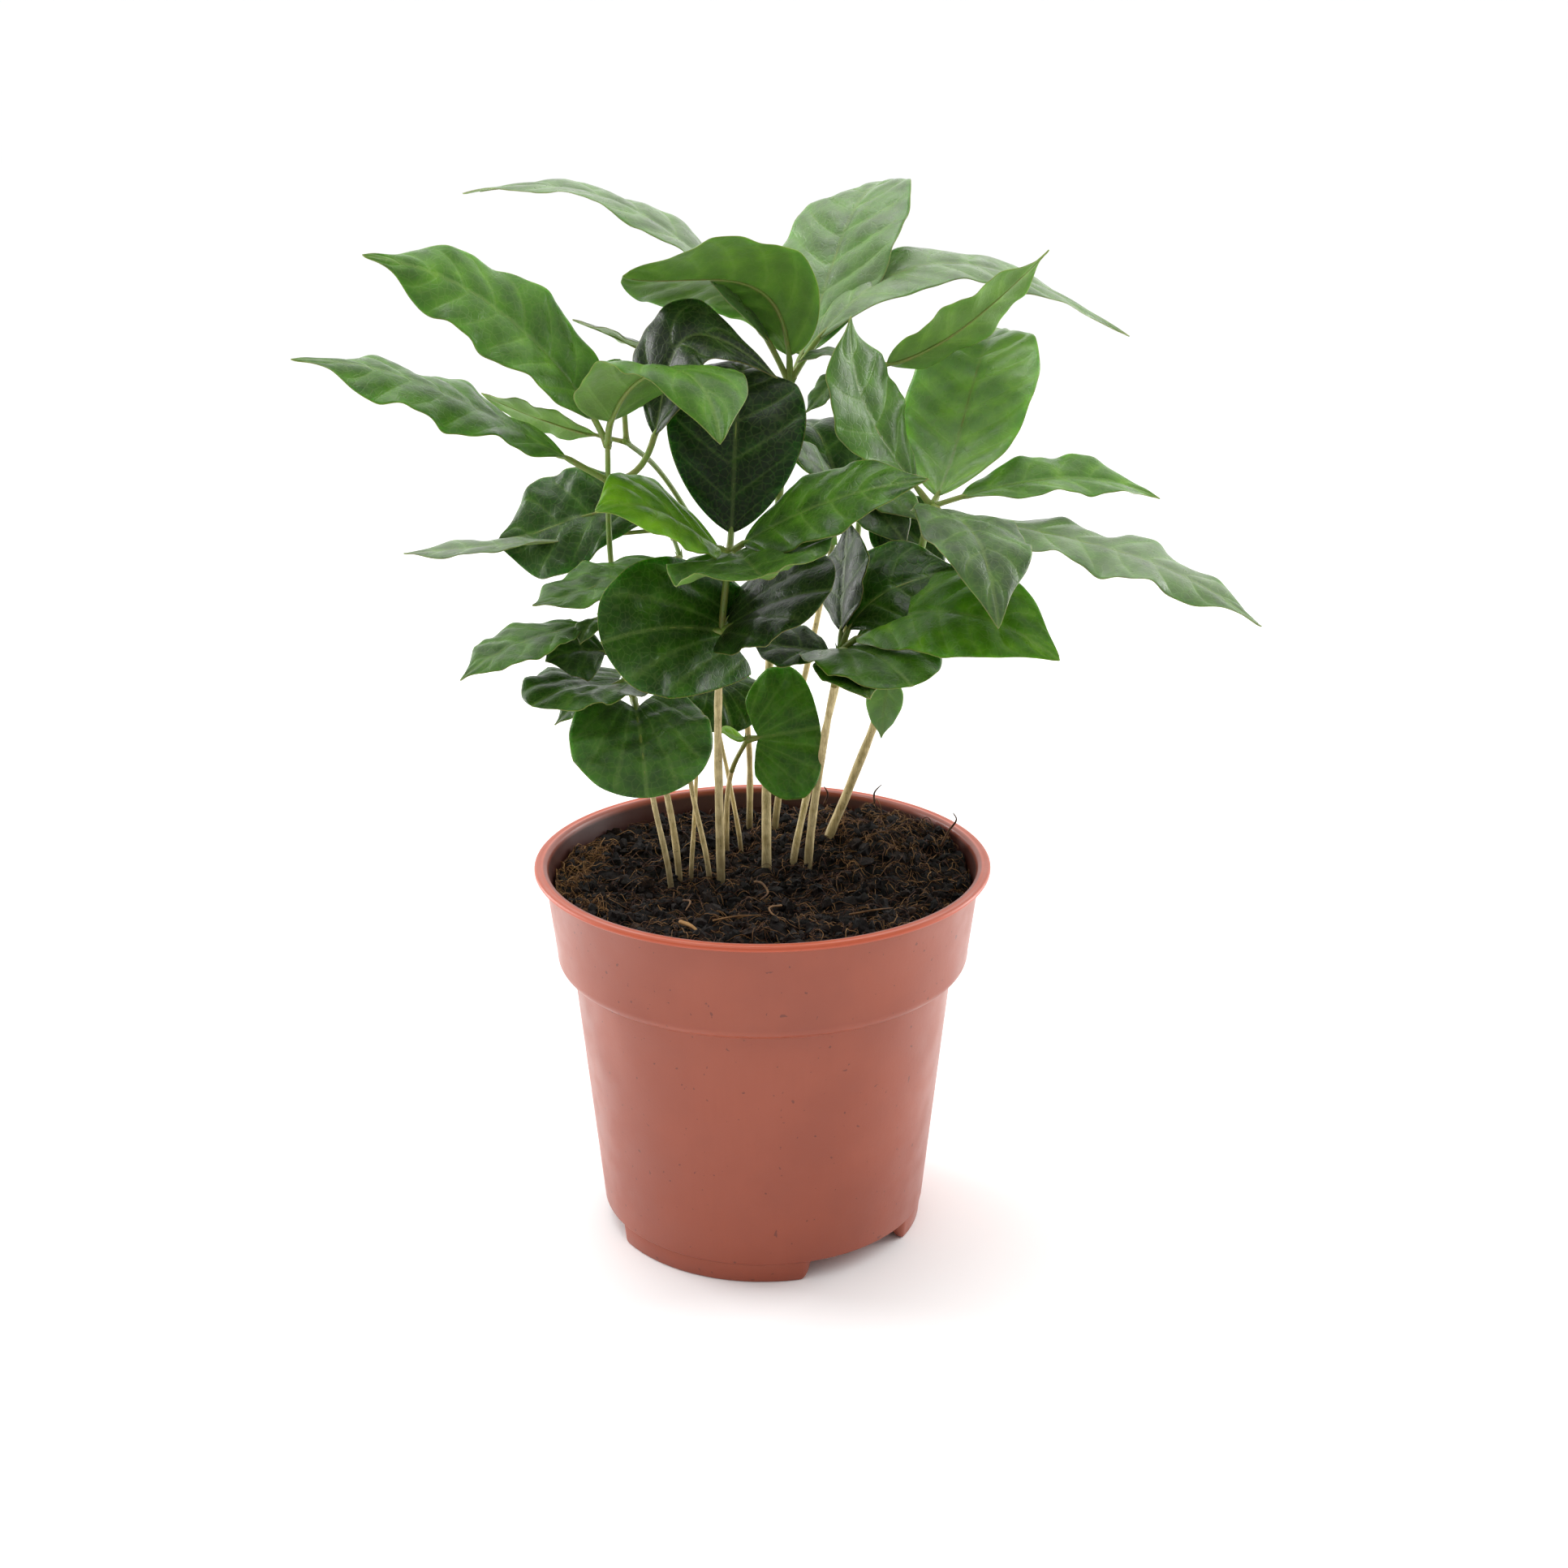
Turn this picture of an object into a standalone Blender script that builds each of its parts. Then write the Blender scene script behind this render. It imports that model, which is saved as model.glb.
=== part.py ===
"""A potted coffee plant: a plastic nursery pot, its soil and the young plants in it.

The model is worked out in millimetres about the pot's axis, with +Z up and the front
of the pot towards -Y. It is written in metres about the middle of its own box, with
the foot of the pot at Z = 0.
"""

import math
from dataclasses import dataclass

import bmesh
import bpy
import numpy as np

MM = 0.001
GAP = 0.35  # left between pieces that touch
JOINT = 0.6  # left between the tan stem and the green shoot

# pot
POT_HEIGHT = 102.0
RIM_RADIUS = 60.0
LIP = 1.4  # thickness of the lip, which stands out from the band
WALL = 1.2
BAND_TOP_RADIUS = 57.3
BAND_FOOT_RADIUS = 54.6
BAND_FOOT_HEIGHT = 78.0
STEP_HEIGHT = 74.4
STEP_RADIUS = 50.7
BODY_FOOT_RADIUS = 43.7
FLOOR_UNDERSIDE = 5.5
FLOOR = 1.5
FOOT_RADIUS = 42.9
FOOT_WALL = 2.0
FEET = 3
FOOT_GAP = 40.0  # degrees between two feet, where they meet the floor
FIRST_GAP = 308.0  # direction of one gap, degrees from +X
FOOT_WEB = 0.3  # height of foot left across a gap
POT_STEPS = 40

# soil
SOIL_LEVEL = 96.0
SOIL_STEPS = 40
ROOT_DEPTH = 15.0  # of each stem below the soil level
HOLE_TOP = 14.0  # the hole cutters end this far above the soil level

# stems and leaves
STEM_SIDES = 8
STEM_SPACING = 12.0  # between the rings of a stem
BUD = 2.0  # a shoot goes on this far past its top leaves
BLADE = 0.6
PETIOLE_HALF = 0.95
PETIOLE_THICK = 1.6
TIP_HALF = 0.45
ROW_SPACING = 5.5  # between the rows of points of a leaf, which has MOST_ROWS at most
MOST_ROWS = 11
NARROW = 15.0  # a leaf under this width has three columns of points instead of five


@dataclass
class Leaf:
    """One leaf. Positions and lengths in mm, angles in degrees, shares from 0 to 1."""

    name: str
    node: tuple
    tip: tuple
    width: float
    arch: tuple = (0.0, 0.0)  # rise of the midrib over its chord, near the base and the tip
    sway: tuple = (0.0, 0.0)  # the same sideways
    droop: float = 0.0  # how far the last part of the tip hangs
    roll: float = 0.0  # turn of the blade about its midrib, at the base
    twist: float = 0.0  # how much further the tip is turned
    fold: float = 12.0  # rise of each half from the midrib, at the base
    fold_tip: float = None
    curl: float = -14.0  # bend of each half across its width
    bend: tuple = (0.0, 0.0)  # more of it on the left half and on the right
    wave: float = 0.8
    waves: float = 3.0
    phase: float = 0.0
    petiole: float = 6.0
    peak: float = 0.48  # where along the blade it is widest
    full: float = 0.8  # under 1 is a fuller outline; a seed leaf's front is rounder with more
    drip: float = 0.5  # how much the last quarter narrows
    lobe: float = None  # a value makes it a rounded seed leaf, lobed at its base


@dataclass
class Seedling:
    """One plant: its stem's points from soil to top, where the tan stem ends, and its leaves."""

    number: int
    path: list
    radius: float
    split: float = None  # height where the tan stem ends and the green shoot starts
    leaves: tuple = ()


SEEDLINGS = (
    Seedling(1, [(-22, -1, 96), (-25, 0, 120), (-36, 8, 153), (-39, 12, 180), (-38, -2, 212)],
             0.8, 160, (
        Leaf("1a", (-39, -3, 213), (-93, -18, 260), 29, (7, 6), droop=6, roll=42, fold=26, fold_tip=-16,
             wave=1.6, waves=3.2, petiole=7, peak=0.4, full=0.62, drip=0.65),
        Leaf("1b", (-38, -3, 199), (-111, -20, 236), 32, (4, 6), roll=14, fold=8, fold_tip=-12,
             wave=1.6, waves=3.2, petiole=12),
        Leaf("1c", (-37, -5, 213), (-9, -42, 220), 38, (14, 14), (0, -4), 4, 0, 10, wave=1.2, petiole=5,
             peak=0.42, full=0.65),
        Leaf("1d", (-38, -2, 199), (4, 8, 227), 28, (3, 16), droop=8, roll=-32, fold=14, wave=1,
             petiole=15),
    )),
    Seedling(2, [(-4, 37, 96), (-4, 36, 121), (-13, 34, 172), (-28, 20, 203), (-34, 8, 211)],
             0.8, 165, (
        Leaf("2a", (-35, 6, 213), (-71, 16, 222), 14, (-1, -1), roll=-42, fold=6, wave=0.6, petiole=8),
        Leaf("2b", (-35, 6, 213), (-36, 19, 230), 22, (1, 2), roll=-20, petiole=8, full=0.6),
    )),
    Seedling(3, [(1, 5, 96), (1, 10, 120), (3, 22, 175), (7, 30, 222)], 1.15, 168, (
        Leaf("3a", (7, 30, 223), (-77, 42, 269), 27, (14, 13), droop=8, roll=2, fold=8, fold_tip=6,
             wave=1, petiole=10, peak=0.42, full=0.65),
        Leaf("3b", (7, 28, 223), (-34, 8, 252), 37, (16, 10), roll=-40, fold=16, fold_tip=14, curl=-12,
             bend=(-22, 0), wave=1.2, petiole=4, peak=0.52, full=0.5, drip=0.35),
        Leaf("3c", (8, 31, 223), (37, 86, 268), 39, (4, 8), droop=8, roll=11, wave=1, petiole=9,
             peak=0.42, full=0.68),
        Leaf("3d", (8, 29, 223), (99, 60, 230), 26, (25, 20), roll=-14, fold=6, fold_tip=2, wave=1,
             petiole=9, peak=0.42, drip=0.7),
        Leaf("3e", (7, 28, 222), (-49, 34, 238), 22, (-4, -2), roll=-14, wave=0.5, petiole=28),
    )),
    Seedling(4, [(8, 9, 96), (11, 14, 111), (20, 26, 143), (26, 33, 190), (28, 25, 227)], 0.85, 150, (
        Leaf("4a", (28, 25, 227), (72, 21, 257), 20, (-4, -3), roll=40, wave=1, petiole=4, peak=0.4,
             full=0.75, drip=0.8),
        Leaf("4b", (28, 25, 227), (11, 16, 217), 11, (3, 2), roll=5, wave=0.4, petiole=4),
        Leaf("4c", (28, 25, 227), (9, 21, 229), 12, (3, 3), wave=0.3, petiole=4),
    )),
    Seedling(5, [(17, 21, 96), (23, 20, 114), (30, 16, 135), (43, 6, 195)], 1.15, 140, (
        Leaf("5a", (44, 7, 196), (66, 62, 231), 35, (3, 8), (1, 1), droop=5, roll=2, wave=1, petiole=4,
             peak=0.46, full=0.75, drip=0.8),
        Leaf("5b", (44, 7, 196), (22, 3, 243), 28, (-4, -5), roll=45, wave=1, petiole=6, peak=0.55),
        Leaf("5c", (44, 6, 196), (103, 20, 194), 20, (5, 6), roll=-18, fold=16, fold_tip=12, wave=1,
             petiole=8, peak=0.5, full=0.65, drip=0.8),
        Leaf("5d", (44, 4, 195), (56, -45, 177), 29, (8, 11), roll=12, wave=1.2, petiole=5, full=0.7),
        Leaf("5e", (44, 4, 193), (122, -25, 172), 28, (3, 4), droop=4, roll=-5, fold=4, fold_tip=0,
             wave=1.6, waves=3.5, petiole=10, peak=0.5, full=0.7),
        Leaf("5f", (35, 13, 149), (31, 4, 134), 10, (2, 2), wave=0.2, petiole=3, peak=0.36),
    )),
    Seedling(6, [(-11, -2, 96), (-11, -6, 150), (-10, -8, 167), (-8, -7, 186)], 1.05, 158, (
        Leaf("6a", (-8, -6, 186), (-3, 26, 228), 35, (4, 9), droop=6, roll=-10, wave=0.8, petiole=5,
             peak=0.52, full=0.62),
        Leaf("6b", (-7, -8, 187), (40, -28, 209), 28, (3, 3), roll=-31, fold=8, fold_tip=4, petiole=5,
             peak=0.42),
        Leaf("6c", (-9, -8, 186), (-39, -32, 202), 32, (3, 5), roll=26, wave=0.6, petiole=4, peak=0.45,
             full=0.7),
        Leaf("6d", (-8, -9, 185), (4, -43, 190), 43, (2, 0), droop=-3, roll=-9, fold_tip=20, wave=1.8,
             petiole=4, peak=0.5, full=0.6),
        Leaf("6e", (-10, -9, 166), (-38, -36, 171), 35, (2, 2), roll=72, petiole=2, lobe=0.3),
        Leaf("6f", (-10, -9, 166), (17, -28, 182), 33, (2, 2), roll=-36, fold=14, petiole=3, lobe=0.05),
    )),
    Seedling(7, [(-14, -1, 96), (-19, 4, 123), (-21, 10, 156), (-21, 11, 180), (-24, 20, 186)],
             0.65, 150, (
        Leaf("7a", (-24, 20, 186), (-70, 28, 181), 31, (6, 3), roll=50, wave=1, petiole=4, peak=0.6,
             full=0.55),
        Leaf("7b", (-24, 22, 185), (-94, 22, 179), 13, roll=6, wave=0.5, petiole=20, peak=0.72),
        Leaf("7c", (-21, 10, 181), (-56, -20, 176), 24, (1, 0), roll=2, wave=1, petiole=5, full=0.6),
    )),
    Seedling(8, [(-24, -6, 96), (-28, -8, 121), (-31, -11, 145), (-34, -9, 153),
                 (-37, -7, 160), (-40, -6, 169)], 0.7, 142, (
        Leaf("8a", (-40, -6, 169), (-74, -24, 158), 24, (2, 3), roll=3, fold=8, fold_tip=4, wave=0.6,
             petiole=5),
        Leaf("8b", (-34, -9, 154), (-56, -29, 153), 28, (1, 2), roll=4, petiole=3, lobe=0.2),
        Leaf("8c", (-32, -10, 149), (-28, -34, 131), 36, (3, 3), petiole=4, lobe=0.2),
        Leaf("8d", (-40, -7, 169), (-45, -16, 165), 7, (2, 2), wave=0.2, petiole=3),
        Leaf("8e", (-34, -8, 152), (-52, -16, 144), 9, (2, 2), roll=10, wave=0.3, petiole=5),
        Leaf("8f", (-37, -7, 160), (-54, -14, 160), 22, (2, 2), roll=28, wave=0.5, petiole=3),
    )),
    Seedling(9, [(-10, 16, 96), (-8, 12, 123), (-4, 6, 133)], 0.75, 122, (
        Leaf("9a", (-4, 5, 134), (15, 4, 137), 36, (0, 0), roll=-62, petiole=3, lobe=0.1, full=2.5),
        Leaf("9b", (-4, 6, 134), (-11, 2, 137), 7, roll=20, wave=0, petiole=1),
    )),
    Seedling(10, [(-6, 19, 96), (-9, 20, 116), (-13, 24, 136), (-14, 26, 144)], 0.6, 136, (
        Leaf("10a", (-14, 26, 144), (-8, 15, 132), 25, (2, 2), petiole=2, lobe=0.2),
    )),
    Seedling(11, [(12, 5, 96), (16, 0, 134), (20, -4, 160)], 1.05, 150, (
        Leaf("11a", (21, -4, 160), (72, -34, 166), 34, (10, 10), roll=-25, wave=0.6, petiole=5,
             full=0.65),
        Leaf("11b", (21, -5, 160), (36, -42, 162), 31, (3, 3), roll=-6, petiole=3, lobe=0.2),
        Leaf("11c", (20, -5, 160), (26, -46, 160), 20, (1, 1), roll=-10, fold=20, fold_tip=12, wave=0.5,
             petiole=3, peak=0.42),
        Leaf("11d", (20, -3, 160), (50, -4, 181), 30, (6, 5), roll=-35, wave=0.6, petiole=5),
        Leaf("11e", (20, -3, 160), (22, 8, 191), 24, (2, 2), roll=53, wave=0.6, petiole=5),
        Leaf("11f", (20, -3, 159), (-3, 2, 161), 18, roll=20, wave=0.4, petiole=3),
    )),
    Seedling(12, [(3, 35, 96), (4, 35, 106), (13, 34, 150), (21, 28, 193)], 0.85, 165, (
        Leaf("12a", (21, 28, 193), (8, 54, 207), 26, (5, 7), wave=0.5, petiole=3, full=0.6),
        Leaf("12b", (21, 27, 194), (37, 8, 184), 14, (3, 3), roll=-20, wave=0.3, petiole=3),
        Leaf("12c", (21, 27, 194), (47, 14, 176), 24, (3, 3), roll=-30, wave=0.5, petiole=8),
        Leaf("12d", (21, 27, 194), (41, 12, 190), 12, (3, 3), roll=-20, wave=0.3, petiole=5),
        Leaf("12e", (21, 27, 194), (7, 10, 208), 14, (2, 2), roll=50, wave=0.3, petiole=3),
    )),
    Seedling(13, [(-19, 1, 96), (-18, 4, 112), (-17, 8, 132)], 0.6),
    Seedling(14, [(-12, 41, 96), (-12, 40, 118), (-13, 38, 134)], 0.5),
)


def unit(v):
    """Vectors of length 1, along the last axis."""
    v = np.asarray(v, float)
    return v / np.linalg.norm(v, axis=-1, keepdims=True)


# paths and tubes

def path_points(controls, spacing, start=None, end=None):
    """Points at an even spacing on a smooth curve through the controls, between two heights."""
    controls = np.asarray(controls, float)
    chord = np.concatenate([[0], np.cumsum(np.linalg.norm(np.diff(controls, axis=0), axis=1))])
    slope = np.gradient(controls, chord, axis=0)
    at = np.linspace(0, chord[-1], 400)
    k = np.clip(np.searchsorted(chord, at, side="right") - 1, 0, len(chord) - 2)
    step = (chord[k + 1] - chord[k])[:, None]
    t = ((at - chord[k]) / step[:, 0])[:, None]
    fine = (
        (2 * t**3 - 3 * t**2 + 1) * controls[k]
        + (t**3 - 2 * t**2 + t) * step * slope[k]
        + (-2 * t**3 + 3 * t**2) * controls[k + 1]
        + (t**3 - t**2) * step * slope[k + 1]
    )
    length = np.concatenate([[0], np.cumsum(np.linalg.norm(np.diff(fine, axis=0), axis=1))])
    low = 0 if start is None else np.interp(start, fine[:, 2], length)
    high = length[-1] if end is None else np.interp(end, fine[:, 2], length)
    wanted = np.linspace(low, high, max(2, round((high - low) / spacing)) + 1)
    return np.stack([np.interp(wanted, length, fine[:, i]) for i in range(3)], axis=1)


def tube(path, radii, sides=STEM_SIDES):
    """A closed tube along the path: its points and its triangles."""
    path = np.asarray(path, float)
    along = unit(np.gradient(path, axis=0))
    across = unit(np.cross(along[0], (0.2, 1, 0.1)))
    frame = []
    for direction in along:
        across = unit(across - np.dot(across, direction) * direction)
        frame.append(across)
    frame = np.asarray(frame)
    other = np.cross(along, frame)
    angle = np.arange(sides) * 2 * math.pi / sides
    ring = frame[:, None] * np.cos(angle)[:, None] + other[:, None] * np.sin(angle)[:, None]
    rings = path[:, None] + ring * np.broadcast_to(radii, len(path))[:, None, None]
    return closed_rings(rings, path[0], path[-1])


def closed_rings(rings, first, last):
    """A closed skin over a row of rings, with a fan to one point at each end."""
    count, sides = rings.shape[:2]
    points = np.concatenate([rings.reshape(-1, 3), [first, last]])
    i = np.arange(count - 1)[:, None] * sides
    j = np.arange(sides)[None]
    k = (j + 1) % sides
    a, b, c, d = i + j, i + k, i + sides + k, i + sides + j
    sheets = [np.stack([a, b, c], -1).reshape(-1, 3), np.stack([a, c, d], -1).reshape(-1, 3)]
    low, high = np.full(sides, count * sides), np.full(sides, count * sides + 1)
    j, k = j[0], k[0]
    top = (count - 1) * sides
    sheets += [np.stack([low, k, j], -1), np.stack([high, top + j, top + k], -1)]
    return points, np.concatenate(sheets)


# leaves

def blade_half(leaf, u):
    """Half the width of the blade at the shares u of its length."""
    if leaf.lobe is not None:
        widest = 0.42
        back = np.sqrt(1 - 0.68 * np.clip((widest - u) / widest, 0, 1) ** 2)
        front = np.sqrt(1 - np.clip((u - widest) / (1 - widest), 0, 1) ** (1.7 + leaf.full / 2))
        return leaf.width / 2 * np.where(u < widest, back, front)
    power = math.log(0.5) / math.log(leaf.peak)
    half = np.sin(math.pi * np.clip(u, 0, 1) ** power).clip(0) ** leaf.full
    t = np.clip((u - 0.74) / 0.26, 0, 1)
    return leaf.width / 2 * half * (1 - leaf.drip * t * t * (3 - 2 * t))


def midrib(leaf, root, s):
    """Points of the midrib at the shares s of its length, and the way its top faces."""
    tip = np.array(leaf.tip, float) + (0, 0, leaf.droop)
    chord = tip - root
    along = unit(chord)
    up = unit(np.array((0, 0, 1.0)) - along[2] * along)
    side = np.cross(along, up)
    s = s[:, None]

    def bulge(pair):
        return 13.5 * s * (1 - s) * ((2 / 3 - s) * pair[0] + (s - 1 / 3) * pair[1])

    hang = leaf.droop * np.clip((s - 0.55) / 0.45, 0, None) ** 2
    line = root + s * chord + bulge(leaf.arch) * up + bulge(leaf.sway) * side
    return line - hang * np.array((0, 0, 1.0)), up


def blade_surface(leaf, root, s, v):
    """The middle surface of a leaf: rows at the shares s, columns from -1 (left) to 1 (right)."""
    length = np.linalg.norm(np.array(leaf.tip, float) - root)
    share = leaf.petiole / length
    line, up = midrib(leaf, root, s)
    ahead, behind = midrib(leaf, root, s + 1e-3)[0], midrib(leaf, root, s - 1e-3)[0]
    along = unit(ahead - behind)
    normal = unit(up - np.sum(up * along, axis=1, keepdims=True) * along)
    right = np.cross(along, normal)
    u = np.clip((s - share) / (1 - share), 0, 1)
    roll = np.radians(leaf.roll + leaf.twist * u)[:, None]
    right, normal = (
        right * np.cos(roll) + normal * np.sin(roll),
        normal * np.cos(roll) - right * np.sin(roll),
    )
    half = np.maximum(blade_half(leaf, u), np.where(u > 0.5, TIP_HALF, PETIOLE_HALF))[:, None]
    last = leaf.fold - 8 if leaf.fold_tip is None else leaf.fold_tip
    fold = np.radians(leaf.fold + (last - leaf.fold) * u)[:, None]
    curl = np.radians(leaf.curl + np.where(v < 0, *leaf.bend))[None]
    out = np.abs(v)[None]
    reach = (np.sin(fold + curl * out) - np.sin(fold)) / curl
    rise = (np.cos(fold) - np.cos(fold + curl * out)) / curl
    phase = leaf.phase + np.where(v < 0, 1.9, 0.0)
    swing = np.sin(2 * math.pi * leaf.waves * u[:, None] + phase)
    rise = half * rise + leaf.wave * out**1.8 * swing * np.sin(math.pi * u)[:, None] ** 0.5
    grid = line[:, None] + right[:, None] * (half * reach * np.sign(v))[..., None]
    grid = grid + normal[:, None] * rise[..., None]
    if leaf.lobe is not None:
        back = leaf.lobe * length * np.clip(1 - u / 0.42, 0, 1) ** 1.5
        grid -= along[:, None] * (back[:, None] * np.sin(math.pi / 2 * out))[..., None]
    thick = (1 - v**2)[None] * np.where(u > 0, 0.5 * (1 - u), 1)[:, None]
    return grid, BLADE + (PETIOLE_THICK - BLADE) * thick


def leaf_rows(leaf, root):
    """Shares of the midrib where a leaf has its rows of points."""
    length = np.linalg.norm(np.array(leaf.tip, float) - root)
    count = int(np.clip(round(length / ROW_SPACING), 5, MOST_ROWS))
    share = leaf.petiole / length
    rows = share + (1 - share) * np.linspace(0, 1, count)
    return rows if leaf.lobe is not None else np.concatenate([[0], rows])


def leaf_solid(leaf, root):
    """A closed leaf: the middle surface moved half its thickness both ways."""
    s = leaf_rows(leaf, root)
    v = np.linspace(-1, 1, 3 if leaf.width < NARROW else 5)
    grid, thick = blade_surface(leaf, root, s, v)
    normal = unit(np.cross(np.gradient(grid, axis=1), np.gradient(grid, axis=0)))
    shift = normal * thick[..., None] / 2
    rows, columns = len(s), len(v)
    points = np.concatenate([(grid + shift).reshape(-1, 3), (grid - shift).reshape(-1, 3)])
    index = np.arange(rows * columns).reshape(rows, columns)
    a, b = index[:-1, :-1].ravel(), index[:-1, 1:].ravel()
    c, d = index[1:, 1:].ravel(), index[1:, :-1].ravel()
    top = np.concatenate([np.stack([a, b, c], 1), np.stack([a, c, d], 1)])
    border = np.concatenate([index[0, :-1], index[:-1, -1], index[-1, :0:-1], index[:0:-1, 0]])
    after = np.roll(border, -1)
    under = rows * columns
    rim = np.concatenate([
        np.stack([after, border, border + under], 1),
        np.stack([after, border + under, after + under], 1),
    ])
    faces = np.concatenate([top, top[:, ::-1] + under, rim])
    corner = points[faces]
    volume = np.einsum("ij,ij->i", corner[:, 0], np.cross(corner[:, 1], corner[:, 2])).sum()
    return points, faces if volume > 0 else faces[:, ::-1]


def seed_leaf_stalk(leaf, root):
    """The short round stalk of a seed leaf, which ends inside the blade's midrib."""
    length = np.linalg.norm(np.array(leaf.tip, float) - root)
    end = (leaf.petiole + 0.25 * (length - leaf.petiole)) / length
    line, _ = midrib(leaf, root, np.linspace(0, end, 4))
    return tube(line, np.linspace(0.9, 0.45, 4), sides=6)


# stems

def stem_path(seedling, start=None, end=None, spacing=STEM_SPACING):
    """The stem's own line, which comes straight up out of the soil."""
    base = np.array(seedling.path[0], float)
    controls = [base - (0, 0, ROOT_DEPTH)] + list(seedling.path)
    return path_points(controls, spacing, start, end)


def stem_radii(seedling, path):
    """A stem thins from 1.2 of its radius at its foot to 0.8 at its top."""
    low, high = seedling.path[0][2] - ROOT_DEPTH, seedling.path[-1][2]
    return seedling.radius * (1.2 - 0.4 * (path[:, 2] - low) / (high - low))


def tan_path(seedling):
    """The line of the lower, tan part of a stem."""
    end = None if seedling.split is None else seedling.split - JOINT / 2
    return stem_path(seedling, end=end)


def tan_stem(seedling):
    """The lower, tan part of a stem."""
    path = tan_path(seedling)
    return tube(path, stem_radii(seedling, path))


def green_stem(seedling):
    """The upper, green part of a stem, with its bud."""
    path = stem_path(seedling, start=seedling.split + JOINT / 2)
    radii = stem_radii(seedling, path)
    bud = path[-1] + BUD * unit(path[-1] - path[-2])
    return tube(np.concatenate([path, [bud]]), np.concatenate([radii, radii[-1:] / 2]))


def hole_cutter(seedling):
    """The stem's part in the soil, made wider by the gap: it has the stem's own rings."""
    path = tan_path(seedling)
    path = path[:np.searchsorted(path[:, 2], SOIL_LEVEL + HOLE_TOP) + 1]
    path[0] -= (0, 0, GAP)
    return tube(path, stem_radii(seedling, path) + GAP)


def leaf_root(seedling, leaf):
    """The point of the stem's line that is nearest to where a leaf is meant to join it."""
    line = stem_path(seedling, spacing=1.0)
    return line[np.argmin(np.linalg.norm(line - np.array(leaf.node, float), axis=1))]


def shoot_solids(seedling):
    """Every solid of a green shoot: its stem, its leaves and the stalks of its seed leaves."""
    solids = [green_stem(seedling)]
    for leaf in seedling.leaves:
        root = leaf_root(seedling, leaf)
        solids.append(leaf_solid(leaf, root))
        if leaf.lobe is not None:
            solids.append(seed_leaf_stalk(leaf, root))
    return solids


# pot and soil

def arc(x, z, radius, start, end, count):
    """Points of an arc in the profile plane, angles in degrees."""
    angle = np.radians(np.linspace(start, end, count))
    return [(x + radius * math.cos(a), z + radius * math.sin(a)) for a in angle]


def pot_inside():
    """The inner profile, from the middle of the floor up to the lip."""
    floor = FLOOR_UNDERSIDE + FLOOR
    return [
        (0, floor), (BODY_FOOT_RADIUS - 2 * WALL, floor),
        (BODY_FOOT_RADIUS - WALL, floor + WALL),
        (STEP_RADIUS - WALL, STEP_HEIGHT - 0.8), (STEP_RADIUS - 1.1, STEP_HEIGHT + 0.3),
        (BAND_FOOT_RADIUS - 2.2, STEP_HEIGHT + 1.7), (BAND_FOOT_RADIUS - WALL, BAND_FOOT_HEIGHT),
        (BAND_TOP_RADIUS - WALL, POT_HEIGHT - LIP - 0.2),
    ]


def pot_profile():
    """The whole profile at +X: up the inside, over the lip and down the outside."""
    lip = [
        (BAND_TOP_RADIUS - 0.6, POT_HEIGHT - 0.4), (BAND_TOP_RADIUS + 0.2, POT_HEIGHT),
        *arc(RIM_RADIUS - LIP / 2, POT_HEIGHT - LIP / 2, LIP / 2, 90, -90, 5),
    ]
    outside = [
        (BAND_TOP_RADIUS, POT_HEIGHT - LIP - 0.3),
        (BAND_FOOT_RADIUS, BAND_FOOT_HEIGHT),
        (BAND_FOOT_RADIUS - 0.5, BAND_FOOT_HEIGHT - 1.8),
        (BAND_FOOT_RADIUS - 1.6, BAND_FOOT_HEIGHT - 2.9),
        (STEP_RADIUS, STEP_HEIGHT), (STEP_RADIUS - 0.3, STEP_HEIGHT - 1.0),
        (BODY_FOOT_RADIUS, FLOOR_UNDERSIDE + 0.6),
    ]
    foot = [
        (BODY_FOOT_RADIUS - 0.3, FLOOR_UNDERSIDE), (FOOT_RADIUS, 0.4), (FOOT_RADIUS - 0.4, 0),
        (FOOT_RADIUS - FOOT_WALL + 0.3, 0), (FOOT_RADIUS - FOOT_WALL, 0.3),
        (FOOT_RADIUS - FOOT_WALL, FLOOR_UNDERSIDE), (0, FLOOR_UNDERSIDE),
    ]
    return pot_inside() + lip + outside + foot


def soil_height(x, y):
    """Height of the soil: higher to the front, heaped at the back right, and uneven."""
    front = 3.4 * np.clip((-y - 8) / 40, 0, 1) ** 1.3
    heap = 5.5 * np.exp(-(((x - 30) / 24) ** 2) - ((y - 26) / 24) ** 2)
    crumbs = 0.7 * np.sin(0.31 * x + 1.3) * np.sin(0.27 * y + 0.4)
    crumbs += 0.45 * np.sin(0.55 * x - 0.4 * y + 2)
    return SOIL_LEVEL + front + heap + crumbs


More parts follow.
